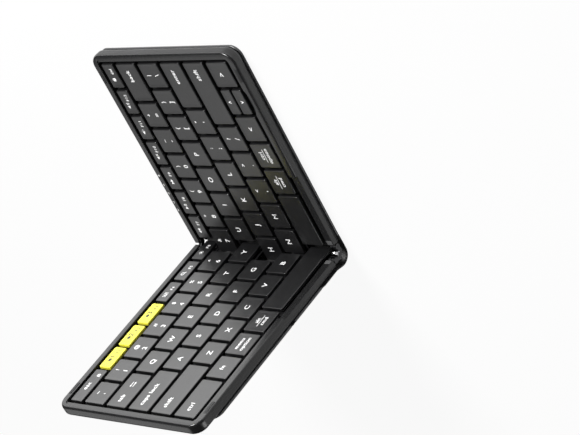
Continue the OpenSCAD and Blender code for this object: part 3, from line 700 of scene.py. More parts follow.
def is_homing(node, x0, x1):
    """True for F and J, by how many pitches their outer side lies in from the field's end."""
    units = (FIELD - max(abs(x0), abs(x1))) / PITCH
    return node in HOMING_UNITS and abs(units - HOMING_UNITS[node]) < 0.1


print("keys with a raised bar", sum(is_homing(node, x0, x1) for _, node, x0, _, x1, _, _ in KEYS))

# %% [markdown]
# The caps of one node move together, so they are one piece, and its print is a second piece that
# rides the same body. That keeps the number of pieces low, and a press moves both alike.

# %% Mould the caps and print them
for node, own in KEYS_OF_NODE.items():
    is_device = node.startswith("device_key")
    solids = []
    for place, _, x0, y0, x1, y1, _ in own:
        moulded = [keycap(x0, y0, x1, y1)]
        if is_homing(node, x0, x1):
            moulded.append(homing_bar((x0 + x1) / 2, y0))
        solids += [(place(points), faces) for points, faces in moulded]
    caps = make_piece(node + "_caps", solids, device_plastic if is_device else key_plastic, 50)
    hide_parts(node)
    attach(caps, frame_body[node])
    prints = [solid for key in own for solid in printed(key)]
    if prints:
        legend = make_piece(node + "_legends", prints, print_black if is_device else print_white, 30)
        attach(legend, frame_body[node])
print("caps", len(KEYS))

# %% [markdown]
# ## Under the keys
# A rubber dome lifts each key and two crossed frames keep it level; in the keyboard they are squeezed when a key
# goes down. Each node's domes and frames ride the body of its half's domes. The frames and domes stand in the gap
# between the contact sheet and the caps' ceilings.

# %% One dome and one frame
SHEET_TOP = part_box("right_membrane")[1].z
CEILING = KEY_TOP - CAP_WALL
DOME_PROFILE = [(1.0, 0.0), (1.0, 0.08), (0.93, 0.2), (0.8, 0.42), (0.64, 0.62), (0.56, 0.72),
                (0.55, 0.97), (0.5, 1.0)]
DOME_RADIUS, SMALL_DOME_RADIUS = 2.2 * MM, 1.3 * MM
ARM, HALF_ARM_T, ARM_RISE = 0.75 * MM, 0.28 * MM, 0.72 * MM
FRAME_WIDTHS, FRAME_LENGTH, SMALL_FRAME_LENGTH = (4.0 * MM, 3.1 * MM), 4.4 * MM, 2.6 * MM
NEAREST = 4.3 * MM


def dome(x, y, radius):
    """A rubber dome that narrows to a plunger: the profile holds shares of its radius and height."""
    height = CEILING - SHEET_TOP - 0.05 * MM
    turn = np.arange(20) * math.pi / 10
    circle = np.column_stack([np.cos(turn), np.sin(turn)])
    return stack([at_height([x, y] + radius * share * circle, SHEET_TOP + height * up)
                  for share, up in DOME_PROFILE])


def crossed_frame(x, y, width, length, tilt):
    """A flat rectangular frame of four arms about (x, y), turned by tilt about its long middle line."""
    arms = [(-width, -length, -width + ARM, length), (width - ARM, -length, width, length),
            (-width, -length, width, -length + ARM), (-width, length - ARM, width, length)]
    level = (CEILING + SHEET_TOP) / 2 - 0.02 * MM
    cosine, sine = math.cos(tilt), math.sin(tilt)
    solids = []
    for arm in arms:
        outline = round_box(*arm, 0.2 * MM, 3)
        points, faces = stack([at_height(outline, -HALF_ARM_T), at_height(outline, HALF_ARM_T)])
        along, over, up = points.T
        solids.append((np.column_stack([along + x, over * cosine - up * sine + y,
                                        over * sine + up * cosine + level]), faces))
    return solids


print("room under a cap", round((CEILING - SHEET_TOP) / MM, 2), "mm")

# %% [markdown]
# Each key gets a dome and two frames that lean opposite ways. The half-height arrow keys get
# smaller ones, and next to the hinge they are kept clear of the hinge line, where a key overhangs
# its own half and nothing can stand below it.

# %% Domes and crossed frames
for node, own in KEYS_OF_NODE.items():
    place = own[0][0]
    side = 1 if place is on_right else -1
    domes, frames = [], []
    for _, _, x0, y0, x1, y1, _ in own:
        small = y1 - y0 < 12 * MM
        x, y = side * max(side * (x0 + x1) / 2, NEAREST), (y0 + y1) / 2
        points, faces = dome(x, y, SMALL_DOME_RADIUS if small else DOME_RADIUS)
        domes.append((place(points), faces))
        length = SMALL_FRAME_LENGTH if small else FRAME_LENGTH
        rise = math.asin(ARM_RISE / length)
        for width, tilt in zip(FRAME_WIDTHS, (rise, -rise)):
            frames += [(place(points), faces)
                       for points, faces in crossed_frame(x, y, width, length, tilt)]
    anchor = Vector(place(np.array([[0, 0, SHEET_TOP]]))[0])
    for name, solids, material, slot in (("domes", domes, dome_rubber, "dome_rubber"),
                                         ("frames", frames, scissor_plastic, "scissor")):
        piece = make_piece(node + "_" + name, solids, material, 40)
        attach(piece, frame_body["left_domes" if place is on_left else "right_domes"])
        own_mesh(piece)
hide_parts("right_domes", "left_domes")
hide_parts("right_scissors", "left_scissors")

# %% [markdown]
# ## The case
# Each half is a thin moulded rim over a tray whose sides curve in underneath. The rims are drawn
# with a rounded outer edge and rounded corners, then the key well, the hinge bays, the lowered
# front stretch and the slots are cut out of them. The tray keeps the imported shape, with its
# curved sides shaded smoothly.

# %% Rims
DECK_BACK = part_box("right_top_case")[1].y
CASE_END, RIM_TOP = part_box("right_top_case")[1].x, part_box("right_top_case")[1].z
RIM_START, RIM_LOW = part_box("right_top_case")[0].x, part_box("right_top_case")[0].z
WELL = (ROW_SPAN[5][0] - 2.6 * MM, ROW_SPAN[0][1] + 2.0 * MM)
WELL_END = FIELD + 1.6 * MM
CORNER = 8.0 * MM


def deck_outline(x0, inset):
    """Outline of one half: square at the hinge, round at the far corners."""
    radius, y = CORNER - inset, DECK_BACK - inset
    turn = quarter_turn(13)
    far, mid = CASE_END - CORNER, DECK_BACK - CORNER
    front = np.stack([far + radius * np.sin(turn), -mid - radius * np.cos(turn)], -1)
    back = np.stack([far + radius * np.cos(turn), mid + radius * np.sin(turn)], -1)
    return np.concatenate([[(x0, -y)], front, back, [(x0, y)]])


EDGE_WIDTH, EDGE_DROP = 1.1 * MM, 1.9 * MM


def rim_solid():
    """The outer form: upright side, then a quarter of an ellipse, EDGE_WIDTH by EDGE_DROP."""
    rings = [at_height(deck_outline(RIM_START, 0.0), RIM_LOW)]
    for turn in quarter_turn(11):
        rings.append(at_height(deck_outline(RIM_START, EDGE_WIDTH * (1 - math.cos(turn))),
                               RIM_TOP - EDGE_DROP + EDGE_DROP * math.sin(turn)))
    return stack(rings)


print("rim height", round((RIM_TOP - RIM_LOW) / MM, 2), "mm")

# %% [markdown]
# The openings are cut with Booleans, because one block can be slid and sized until it fits, and
# the rim keeps its one outer form. Two kinds of cutter do most of it: a plain block, and one that
# widens at the top and so leaves a rounded edge. A cutter is removed as soon as it has cut.

# %% Tools for cutting
def solid_object(name, solid):
    """A helper object for one solid, to cut with."""
    return make_piece(name, [solid], case_plastic)


def cut(piece, cutters):
    """Takes every cutter out of the piece and removes the cutters."""
    for cutter in cutters:
        tool = solid_object("cutter", cutter)
        change = piece.modifiers.new("cut", "BOOLEAN")
        change.object, change.operation, change.solver = tool, "DIFFERENCE", "EXACT"
        bpy.context.view_layer.update()
        graph = bpy.context.evaluated_depsgraph_get()
        mesh = bpy.data.meshes.new_from_object(piece.evaluated_get(graph))
        piece.modifiers.clear()
        old, piece.data = piece.data, mesh
        bpy.data.meshes.remove(old)
        used = tool.data
        bpy.data.objects.remove(tool)
        bpy.data.meshes.remove(used)
    return piece


def box_solid(x0, y0, z0, x1, y1, z1, radius=0.0):
    """A block, with its upright edges rounded."""
    square = np.array([(x0, y0), (x1, y0), (x1, y1), (x0, y1)])
    outline = round_box(x0, y0, x1, y1, radius, 5) if radius else square
    return stack([at_height(outline, z0), at_height(outline, z1)])


def flared(x0, y0, x1, y1, radius, z0, z1, flare):
    """A block that widens at the top by a quarter circle, for a rounded inner edge."""
    def outline(grow):
        return round_box(x0 - grow, y0 - grow, x1 + grow, y1 + grow, radius + grow, 7)
    rings = [at_height(outline(0.0), z0)]
    for turn in quarter_turn(5):
        rings.append(at_height(outline(flare * (1 - math.cos(turn))),
                               z1 - flare + flare * math.sin(turn)))
    rings.append(at_height(outline(flare), z1 + MM))
    return stack(rings)


print("a plain cutter has", len(box_solid(0, 0, 0, 1, 1, 1)[1]), "faces")

# %% [markdown]
# Both rims lose the key well with a ledge round it, the lowered front, a hinge bay at either end
# and the bumper slots. The right one also loses the windows of the status lights, a thumb scoop
# and the charging port.

# %% What is cut away
HINGE_Z = float(LOWER_AXIS[2])
LINK_WIDTH = 2.5 * MM
BAY_MID = -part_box("hinge_links")[0].y - LINK_WIDTH - 0.1 * MM
BAY_IN = BAY_MID - 1.3 * MM - 0.45 * MM
BAY_X = 6.3 * MM
LOWERED_X, LOWERED = 57.5 * MM, 1.4 * MM
BUMPER_X, BUMPER_Y = FIELD - 9 * MM, DECK_BACK - 2.3 * MM
LIGHT_X = [28.8 * MM + k * 6.65 * MM for k in range(5)]
LIGHT_Y = DECK_BACK - 2.2 * MM
SCOOP_X, SCOOP_Y = FIELD - 2 * PITCH + (PITCH + KEY_GAP) / 2, WELL[0] + 17.5 * MM
SCOOP_PROFILE = [(19.0, -0.9), (19.15, -0.85), (19.25, -0.7), (19.4, -0.3), (19.7, 0.1), (19.7, 1.0)]
PORT, PORT_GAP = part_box("charging_port"), 0.1 * MM


def rim_cutters():
    """Everything that both rims lose: well, ledge, lowered front, hinge bays and bumper slots."""
    front, back = WELL
    above = RIM_TOP + MM
    cutters = [flared(-20 * MM, front, WELL_END, back, 2 * MM, RIM_LOW - MM, RIM_TOP, 0.2 * MM),
               flared(CASE_END / 2, front + 0.6 * MM, WELL_END + 1.6 * MM, back - 0.2 * MM,
                      2.6 * MM, RIM_TOP - 0.65 * MM, RIM_TOP, 0.15 * MM),
               box_solid(WELL_END + 1.45 * MM, front + 2.2 * MM, RIM_TOP - 1.1 * MM,
                         WELL_END + 1.85 * MM, back - 2.0 * MM, above, 0.15 * MM),
               box_solid(-MM, -DECK_BACK - MM, RIM_TOP - LOWERED,
                         LOWERED_X, front + MM, above, 0.8 * MM),
               box_solid(-MM, -DECK_BACK - MM, HINGE_Z,
                         BAY_X + 0.4 * MM, front + MM, above, 0.3 * MM)]
    for side in (-1, 1):
        def bay(x1, y_in, y_out, z0, z1):
            y0, y1 = sorted((side * y_in, side * y_out))
            return box_solid(-MM, y0, z0, x1, y1, z1)
        y = side * BUMPER_Y
        cutters += [bay(BAY_X, BAY_MID, DECK_BACK + MM, RIM_LOW - MM, RIM_TOP - MM),
                    bay(BAY_X, BAY_IN - 0.3 * MM, BAY_MID + MM, HINGE_Z - 2.05 * MM, RIM_TOP - MM),
                    bay(16.3 * MM, BAY_IN, BAY_IN + 1.7 * MM, RIM_LOW - 0.01 * MM,
                        HINGE_Z + 1.05 * MM),
                    box_solid(BUMPER_X - 4.5 * MM, y - 1.2 * MM, RIM_TOP - 0.8 * MM,
                              BUMPER_X + 4.5 * MM, y + 1.2 * MM, above, 0.3 * MM)]
    return cutters


def right_cutters():
    """What only the right rim loses: light windows, thumb scoop and charging port."""
    cutters = [box_solid(x - 1.02 * MM, LIGHT_Y - 0.62 * MM, RIM_TOP - 1.6 * MM,
                         x + 1.02 * MM, LIGHT_Y + 0.62 * MM, RIM_TOP + MM) for x in LIGHT_X]
    turn = np.arange(96) * math.pi / 48
    circle = np.column_stack([np.cos(turn), np.sin(turn)])
    cutters.append(stack([at_height([SCOOP_X, SCOOP_Y] + radius * MM * circle, RIM_TOP + z * MM)
                          for radius, z in SCOOP_PROFILE]))
    outline = round_box(PORT[0].x - PORT_GAP, PORT[0].z - PORT_GAP,
                        PORT[1].x + PORT_GAP, PORT[1].z + PORT_GAP, 1.65 * MM, 7)
    cutters.append(stack([at_height(outline, y)[:, [0, 2, 1]] for y in (DECK_BACK + MM, WELL[1] - MM)]))
    return cutters


print("cutters", len(rim_cutters()), "for both,", len(right_cutters()), "more on the right")

# %% [markdown]
# The left rim is the right one turned over, without the openings that only the right one has. It
# is cut first and carried up afterwards, so that the same numbers serve both halves.

# %% Cut both rims
def mirrored(piece):
    """Open-keyboard points of a piece at +x, turned over to -x and carried to the raised half."""
    mesh = piece.data
    points = np.empty(len(mesh.vertices) * 3, np.float32)
    mesh.vertices.foreach_get("co", points)
    points = points.reshape(-1, 3).astype(float) * [-1, 1, 1]
    mesh.vertices.foreach_set("co", on_left(points).astype(np.float32).ravel())
    mesh.flip_normals()
    return piece


def finished(piece, node, body, smooth_angle=38):
    """Smooth shading between soft edges, the imported node hidden, and the body that it rides on."""
    piece.data.shade_smooth()
    piece.data.set_sharp_from_angle(angle=math.radians(smooth_angle))
    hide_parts(node)
    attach(piece, body)
    return piece


for node, lefthand in (("right_top_case", False), ("left_top_case", True)):
    rim = solid_object(node + "_rim", rim_solid())
    cut(rim, rim_cutters() + ([] if lefthand else right_cutters()))
    if lefthand:
        mirrored(rim)
    finished(rim, node, frame_body[node])
    print(rim.name, "faces", len(rim.data.polygons))

# %% [markdown]
# ## Trays, hinge and the parts inside
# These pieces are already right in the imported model, where they are built from exact cylinders and
# blocks. A copy of each is welded, so that its curved sides shade smoothly, and is given its own
# finish: dark steel for the links, pins and brackets, dark film for the contact sheets, green
# lacquer for the board and a foil wrap for the two cells. A fine bevel on the links, the pins,
# the cells and the magnets catches the light as a real rounded edge does.

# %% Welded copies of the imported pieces
def welded(node, material, smooth_angle=38, soften=0.0):
    """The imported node's mesh with its seams welded and flat faces joined; soften rounds its edges."""
    source = NODES[node]
    work = bmesh.new()
    work.from_mesh(source.data)
    bmesh.ops.remove_doubles(work, verts=work.verts, dist=2e-6)
    bmesh.ops.dissolve_limit(work, angle_limit=math.radians(0.5), verts=work.verts, edges=work.edges)
    if soften:
        sharp = [e for e in work.edges if len(e.link_faces) == 2 and e.calc_length() > 4 * soften
                 and math.degrees(e.calc_face_angle(0)) > 50]
        bmesh.ops.bevel(work, geom=sharp, offset=soften, offset_type="OFFSET", segments=2, profile=0.5,
                        affect="EDGES", clamp_overlap=True, loop_slide=True)
    mesh = bpy.data.meshes.new(node + "_shaped")
    work.to_mesh(mesh)
    work.free()
    mesh.shade_smooth()
    mesh.set_sharp_from_angle(angle=math.radians(smooth_angle))
    mesh.materials.clear()
    mesh.materials.append(material)
    piece = bpy.data.objects.new(node + "_shaped", mesh)
    bpy.context.scene.collection.objects.link(piece)
    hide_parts(node)
    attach(piece, frame_body[node])
    return piece


WELDED = [("right_bottom_shell", shell_plastic, "case", 0),
          ("left_bottom_shell", shell_plastic, "case", 0),
          ("right_hinge_bracket", dark_steel, "steel", 0),
          ("left_hinge_bracket", dark_steel, "steel", 0),
          ("hinge_links", dark_steel, "steel", 0.15 * MM),
          ("hinge_pins", dark_steel, "steel", 0.1 * MM),
          ("charging_port", bright_steel, "steel", 0),
          ("right_screws", bright_steel, "steel", 0),
          ("left_screws", bright_steel, "steel", 0),
          ("right_support_plate", coated_plate, "dark_plate", 0),
          ("left_support_plate", coated_plate, "dark_plate", 0),
          ("right_membrane", deck_film, "membrane", 0),
          ("left_membrane", deck_film, "membrane", 0),
          ("circuit_board", board_lacquer, "board", 0),
          ("battery", cell_foil, "cell", 0.2 * MM),
          ("flap_magnets", bright_steel, "magnet", 0.15 * MM)]
for node, material, slot, soften in WELDED:
    welded(node, material, soften=soften)
print("welded", len(WELDED), "nodes")

# %% [markdown]
# At the front the hinge shows a bright tab on its link, standing half way between the two axes
# and turned half way between the two halves. Beside it each rim has a small glossy insert in its
# lowered stretch. Both are stacks of rounded outlines, so that their edges are soft.

# %% Small pieces at the front of the hinge
LINK_Y = (-BAY_MID - LINK_WIDTH, -BAY_MID)
TAB_PROFILE = [(0.2, -2.0), (0.0, -1.8), (0.0, 1.7), (0.25, 1.95)]
INSERT_X, INSERT_PROFILE = (6.85 * MM, 9.75 * MM), [(0, -0.2), (0, 0.05), (0.12, 0.14), (0.3, 0.17)]
half_fold = FOLD / 2
link_up = np.array([math.sin(half_fold), 0.0, math.cos(half_fold)])
link_along = np.array([math.cos(half_fold), 0.0, -math.sin(half_fold)])
link_frame = np.array([link_along, [0.0, 1.0, 0.0], link_up])
points, faces = pad(-0.9 * MM, LINK_Y[0], 0.9 * MM, LINK_Y[1], 0.3 * MM, 0.0, TAB_PROFILE, 4)
tab = make_piece("hinge_front_tab", [((LOWER_AXIS + UPPER_AXIS) / 2 + points @ link_frame, faces)],
                 bright_steel, 50)
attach(tab, "link")
for name, place, side in (("right_rim_insert", on_right, 1), ("left_rim_insert", on_left, -1)):
    x0, x1 = sorted(side * x for x in INSERT_X)
    points, faces = pad(x0, -DECK_BACK + 0.55 * MM, x1, WELL[0] - 0.25 * MM, 0.5 * MM,
                        RIM_TOP - LOWERED, INSERT_PROFILE, 4)
    insert = make_piece(name, [(place(points), faces)], insert_plastic, 50)
    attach(insert, "right_half" if side > 0 else "left_half")
print("tab and inserts made")

# %% [markdown]
# Soft bumpers near the case's ends keep the keys off the other half when it is closed. They are
# low pads in shallow slots. The status lights are small windows in the right rim's back edge,
# with the same drawings as the keys, smaller, printed over them.

# %% Bumpers and status signs
BUMPER_LONG, BUMPER_WIDE, SIGN_SCALE = 4.45 * MM, 1.15 * MM, 0.75
BUMPER_PROFILE = [(0.0, -0.8), (0.0, 0.0), (0.03, 0.12), (0.12, 0.21), (0.26, 0.25)]
for node, place in (("right_bumpers", on_right), ("left_bumpers", on_left)):
    x = BUMPER_X if place is on_right else -BUMPER_X
    solids = []
    for y in (-BUMPER_Y, BUMPER_Y):
        points, faces = pad(x - BUMPER_LONG, y - BUMPER_WIDE, x + BUMPER_LONG, y + BUMPER_WIDE,
                            0.5 * MM, RIM_TOP, BUMPER_PROFILE, shrink=0.5)
        solids.append((place(points), faces))
    pads = make_piece(node + "_pads", solids, bumper_rubber, 50)
    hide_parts(node)
    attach(pads, frame_body[node])

welded("status_lights", light_window)
drawn = []
for x, sign in zip(LIGHT_X, ("cell", "link", "link", "link", "lock")):
    drawn += [flat_solid(np.asarray(outline) * SIGN_SCALE, x, LIGHT_Y, RIM_TOP + 0.01 * MM)
              for outline in DRAWINGS[sign]]
signs = make_piece("status_signs", drawn, light_plastic, 30)
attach(signs, "right_half")
print("bumpers and signs made")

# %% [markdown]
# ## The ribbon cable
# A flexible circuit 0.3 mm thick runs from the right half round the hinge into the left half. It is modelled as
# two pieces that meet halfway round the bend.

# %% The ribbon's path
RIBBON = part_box("ribbon_cable")


RIBBON_Z, RIBBON_RADIUS, RIBBON_T = 4.1 * MM, 3.85 * MM, 0.3 * MM
RUN_POINTS, BEND_POINTS = 14, 16


def ribbon_path():
    """Centreline in the x-z plane: from x = 13.8 mm along the right half's floor, round a bend
    of RIBBON_RADIUS through FOLD, and 9.8 mm up the left half."""
    out, up = OUT[[0, 2]], UP[[0, 2]]
    level = RIBBON_Z + RIBBON_RADIUS
    corner = (float(np.dot(BACK[[0, 2]], out)) + level * (1 - math.cos(FOLD))) / math.sin(FOLD)
    centre = np.array([corner, level])
    run = [np.array([x, RIBBON_Z]) for x in np.linspace(13.8 * MM, corner, RUN_POINTS)]
    turn = np.linspace(0, FOLD, BEND_POINTS + 1)[1:]
    bend = [centre - RIBBON_RADIUS * np.array([math.sin(a), math.cos(a)]) for a in turn]
    return np.array(run + bend + [bend[-1] + up * s for s in np.linspace(0, 9.8 * MM, 12)[1:]])


def swept(path, section):
    """Rings of a cross-section (y, offset) carried along an x-z path; offset is towards the keys."""
    along = np.gradient(path, axis=0)
    along /= np.linalg.norm(along, axis=1)[:, None]
    side = np.stack([along[:, 1], -along[:, 0]], -1)
    rings = []
    for point, normal in zip(path, side):
        ring = np.empty((len(section), 3))
        ring[:, [0, 2]] = point + section[:, 1:2] * normal
        ring[:, 1] = section[:, 0]
        rings.append(ring)
    return np.array(rings)


def outward(points, faces):
    """Turns the faces over if the solid's volume comes out negative. The volume is summed, six
    times over, from the pyramids between the origin and each triangle."""
    points = np.asarray(points)
    volume = 0.0
    for face in faces:
        a = points[face[0]]
        for b, c in zip(face[1:-1], face[2:]):
            volume += float(np.dot(a, np.cross(points[b], points[c])))
    return (points, faces) if volume > 0 else (points, [face[::-1] for face in faces])


path = ribbon_path()
print("ribbon", round(float(np.linalg.norm(np.diff(path, axis=0), axis=1).sum()) / MM, 1), "mm long")

# %% [markdown]
# The path is cut in two at the middle of its bend, and both pieces stay where they are drawn.

# %% Two pieces of ribbon
middle = RUN_POINTS + BEND_POINTS // 2 - 1
section = round_box(RIBBON[0].y, -RIBBON_T / 2, RIBBON[1].y, RIBBON_T / 2, 0.05 * MM, 2)
rings = swept(path, section)
LEAD_OUT, LEAD_UP = 2.7 * MM, 2.6 * MM
right_end = path[middle] + [LEAD_OUT, -LEAD_UP]
left_end = path[middle] + LEAD_OUT * UP[[0, 2]] - LEAD_UP * OUT[[0, 2]]
for name, span, bodies, ends in (
    ("ribbon_right", slice(0, middle + 1), ("right_half", "link"), (right_end, path[middle])),
    ("ribbon_left", slice(middle, None), ("link", "left_half"), (path[middle], left_end)),
):
    piece = make_piece(name, [outward(*stack(rings[span]))], ribbon_film, 40)
    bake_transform(piece)
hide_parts("ribbon_cable")
print("ribbon path", len(path), "points")

# %% [markdown]
# ## The leather cover
# One sheet of pebbled leather is folded round three thin boards. The boards are stiff, and their
# edges are fully rounded where the leather turns over them. Between the boards the sheet is bare
# and soft: it bends at the spine and at two creases. The cells of the grain are laid out in the
# flat sheet and carried along, so they don't slide when the leather bends.

# %% How a leather piece and a board are made
COVER_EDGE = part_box("right_cover_panel")[1].y
BOARD_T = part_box("right_cover_panel")[1].z


def leather_piece(name, solids, laid, place, smooth_angle=50, edge_rows=None):
    """A leather piece; `laid` holds where each point lies in the flat sheet, for the grain, and
    edge_rows the first and last ring of the painted edge, and the number of rings."""
    made = [outward(place(points), faces) for points, faces in solids]
    piece = make_piece(name, made, leather, smooth_angle)
    if edge_rows:
        piece.data.materials.append(edge_paint_highlight)
        first, last, ring_count = edge_rows
        count = len(laid) // ring_count
        index = np.zeros(len(piece.data.polygons), np.int32)
        index[first * count:last * count] = 1
        piece.data.polygons.foreach_set("material_index", index)
    grain = piece.data.attributes.new("laid", "FLOAT_VECTOR", "POINT")
    grain.data.foreach_set("vector", np.asarray(laid, np.float32).ravel())
    return piece


def board(x0, x1, near, far):
    """A board with a full round edge: inset = r (1 - cos a), height = r + r sin a; near and far
    are its corner radii towards the hinge and away from it."""
    half, turn = BOARD_T / 2, quarter_turn(11)

    def outline(inset):
        y = COVER_EDGE - inset
        near_r, far_r = max(near - inset, 0.05 * MM), max(far - inset, 0.05 * MM)
        near_x, far_x = x0 + (inset + near_r), x1 - (inset + far_r)
        corners = [(far_x, -y + far_r, far_r, -math.pi / 2), (far_x, y - far_r, far_r, 0.0),
                   (near_x, y - near_r, near_r, math.pi / 2), (near_x, -y + near_r, near_r, math.pi)]
        return np.concatenate([np.stack([x + r * np.cos(a + turn), y + r * np.sin(a + turn)], -1)
                               for x, y, r, a in corners])

    rings = [at_height(outline(3.0 * MM), 0.0)]
    for angle in np.linspace(-math.pi / 2, math.pi / 2, 11):
        rings.append(at_height(outline(half * (1 - math.cos(angle))), half + half * math.sin(angle)))
    rings.append(at_height(outline(3.0 * MM), BOARD_T))
    return stack(rings)


def left_side(points):
    """Points drawn at +x turned over to the left half."""
    return on_left(np.asarray(points) * [-1, 1, 1])


print("board", round(BOARD_T / MM, 2), "mm thick")

# %% [markdown]
# One board lies under the right half. The other two are on the left half's back: the first folds
# out as the prop and the second folds back from it as the stand. The far corners of the right
# board and of the stand follow the case's round ones.

# %% Three boards
CREASE, PROP, CREASE_GAP = 22.15 * MM, 29.0 * MM, 3.2 * MM
STAND = CREASE + PROP + CREASE_GAP
STAND_END = CASE_END - 14.1 * MM
BOARD_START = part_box("right_cover_panel")[0].x
EDGE = (3, 9, 13)  # rings 3 to 9, counted from 0, span the turned edge; there are 13
SHARP_CORNER, ROUND_CORNER = 0.9 * MM, CORNER - 0.8 * MM
right_board = board(BOARD_START, CASE_END - 0.8 * MM, SHARP_CORNER, ROUND_CORNER)
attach(leather_piece("right_board", [right_board], right_board[0], on_right, edge_rows=EDGE), "right_half")
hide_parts("right_cover_panel")
prop_board = board(CREASE, CREASE + PROP, SHARP_CORNER, SHARP_CORNER)
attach(leather_piece("prop_board", [prop_board], prop_board[0], left_side, edge_rows=EDGE), "prop")
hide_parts("prop_panel")
stand_board = board(STAND, STAND_END, SHARP_CORNER, ROUND_CORNER)
stand_piece = leather_piece("stand_board", [stand_board], stand_board[0], left_side, edge_rows=EDGE)
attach(stand_piece, "stand")
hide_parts("stand_panel")
print("boards", round(STAND_END / MM, 2), "mm to the flap's end")

# %% [markdown]
# The bare sheet runs from the right board round the spine and up the left back. Its outer face is
# worked out in three parts: level on the ground, a round bend, and a line up the back that stands
# off a little at first, as slack leather does. Each part gives a point and the direction from
# there towards the keys, and such a pair is called a station.

# %% The sheet's outline
SOFT_T, HINGE_SIDE_T = 0.75 * MM, 1.5 * MM
SPINE_RADIUS, BULGE, SETTLE = 7.0 * MM, 1.5 * MM, 8.0 * MM
DIP, DIP_RUN = 0.4 * MM, 3 * MM
flat_out, flat_up, flat_back = OUT[[0, 2]], UP[[0, 2]], BACK[[0, 2]]
lean = float(np.dot(flat_back, flat_out))
BEND_X = (SPINE_RADIUS - BULGE + lean - SPINE_RADIUS * math.cos(FOLD)) / math.sin(FOLD)
BEND = np.array([BEND_X, SPINE_RADIUS])
BEND_END = BEND - SPINE_RADIUS * np.array([math.sin(FOLD), math.cos(FOLD)])
END_X = float(np.dot(BEND_END - flat_back, flat_up))


def on_floor(x):
    """Outer face of the sheet on the ground, and the direction towards the keys."""
    return np.array([x, 0.0]), np.array([0.0, 1.0])


def on_bend(angle):
    """Outer face round the spine: BEND - radius * (sin a, cos a)."""
    inwards = np.array([math.sin(angle), math.cos(angle)])
    return BEND - SPINE_RADIUS * inwards, inwards


def on_back(x):
    """Up the left back, x from the hinge line: it stands off by BULGE at first and settles
    by a smoothstep over SETTLE."""
    t = min(max((x - END_X) / SETTLE, 0.0), 1.0)
    slope = BULGE * (6 * t - 6 * t * t) / SETTLE
    normal = flat_out - slope * flat_up
    point = flat_back + flat_up * x - flat_out * BULGE * (1 - smoothstep(t))
    return point, normal / np.linalg.norm(normal)


print("bend starts at x =", round(BEND_X / MM, 2), "mm")

# %% [markdown]
# A strip of the sheet is a ring stack along its stations. Every point also keeps its place in the
# flat sheet, so that the grain runs on from strip to strip. At a board's edge the sheet dips a
# little, which shows as a crease.

# %% Strips of sheet
def soft_piece(name, stations, laid_start, thickness):
    """A strip of sheet through (outer point, inward direction) stations, with rounded long edges.
    Its thickness runs evenly from the first value to the second."""
    rings, laid, along = [], [], laid_start
    for k, (point, inwards) in enumerate(stations):
        thick = thickness[0] + (thickness[1] - thickness[0]) * k / (len(stations) - 1)
        section = round_box(-COVER_EDGE, 0.0, COVER_EDGE, thick, thick / 2, 6)
        if k:
            along += float(np.linalg.norm(point - stations[k - 1][0]))
        ring = np.empty((len(section), 3))
        ring[:, [0, 2]] = point + section[:, 1:2] * inwards
        ring[:, 1] = section[:, 0]
        rings.append(ring)
        laid.append(np.column_stack([np.full(len(section), -along), section[:, 0], section[:, 1]]))
    piece = leather_piece(name, [stack(rings)], np.concatenate(laid), lambda points: points, 50)
    return piece, along


def sunk(place, positions, edges):
    """Stations that dip by DIP below the boards' outer faces at each board edge, by a smoothstep
    over DIP_RUN, so that the edge shows as a crease."""
    stations = []
    for x in positions:
        near = min(abs(x - edge) for edge in edges)
        t = min(near / DIP_RUN, 1.0)
        point, inwards = place(x)
        stations.append((point + inwards * DIP * (1 - smoothstep(t)), inwards))
    return stations


def arc_stations(start, end, count):
    """Stations round the spine between two angles in radians."""
    return [on_bend(a) for a in np.linspace(start, end, count)]


def back_run(start, end, count, edges=()):
    """Stations up the left back between two distances from the hinge line."""
    return sunk(on_back, np.linspace(start, end, count), edges or [CREASE])


print("dip at a board's edge", round(DIP / MM, 2), "mm")
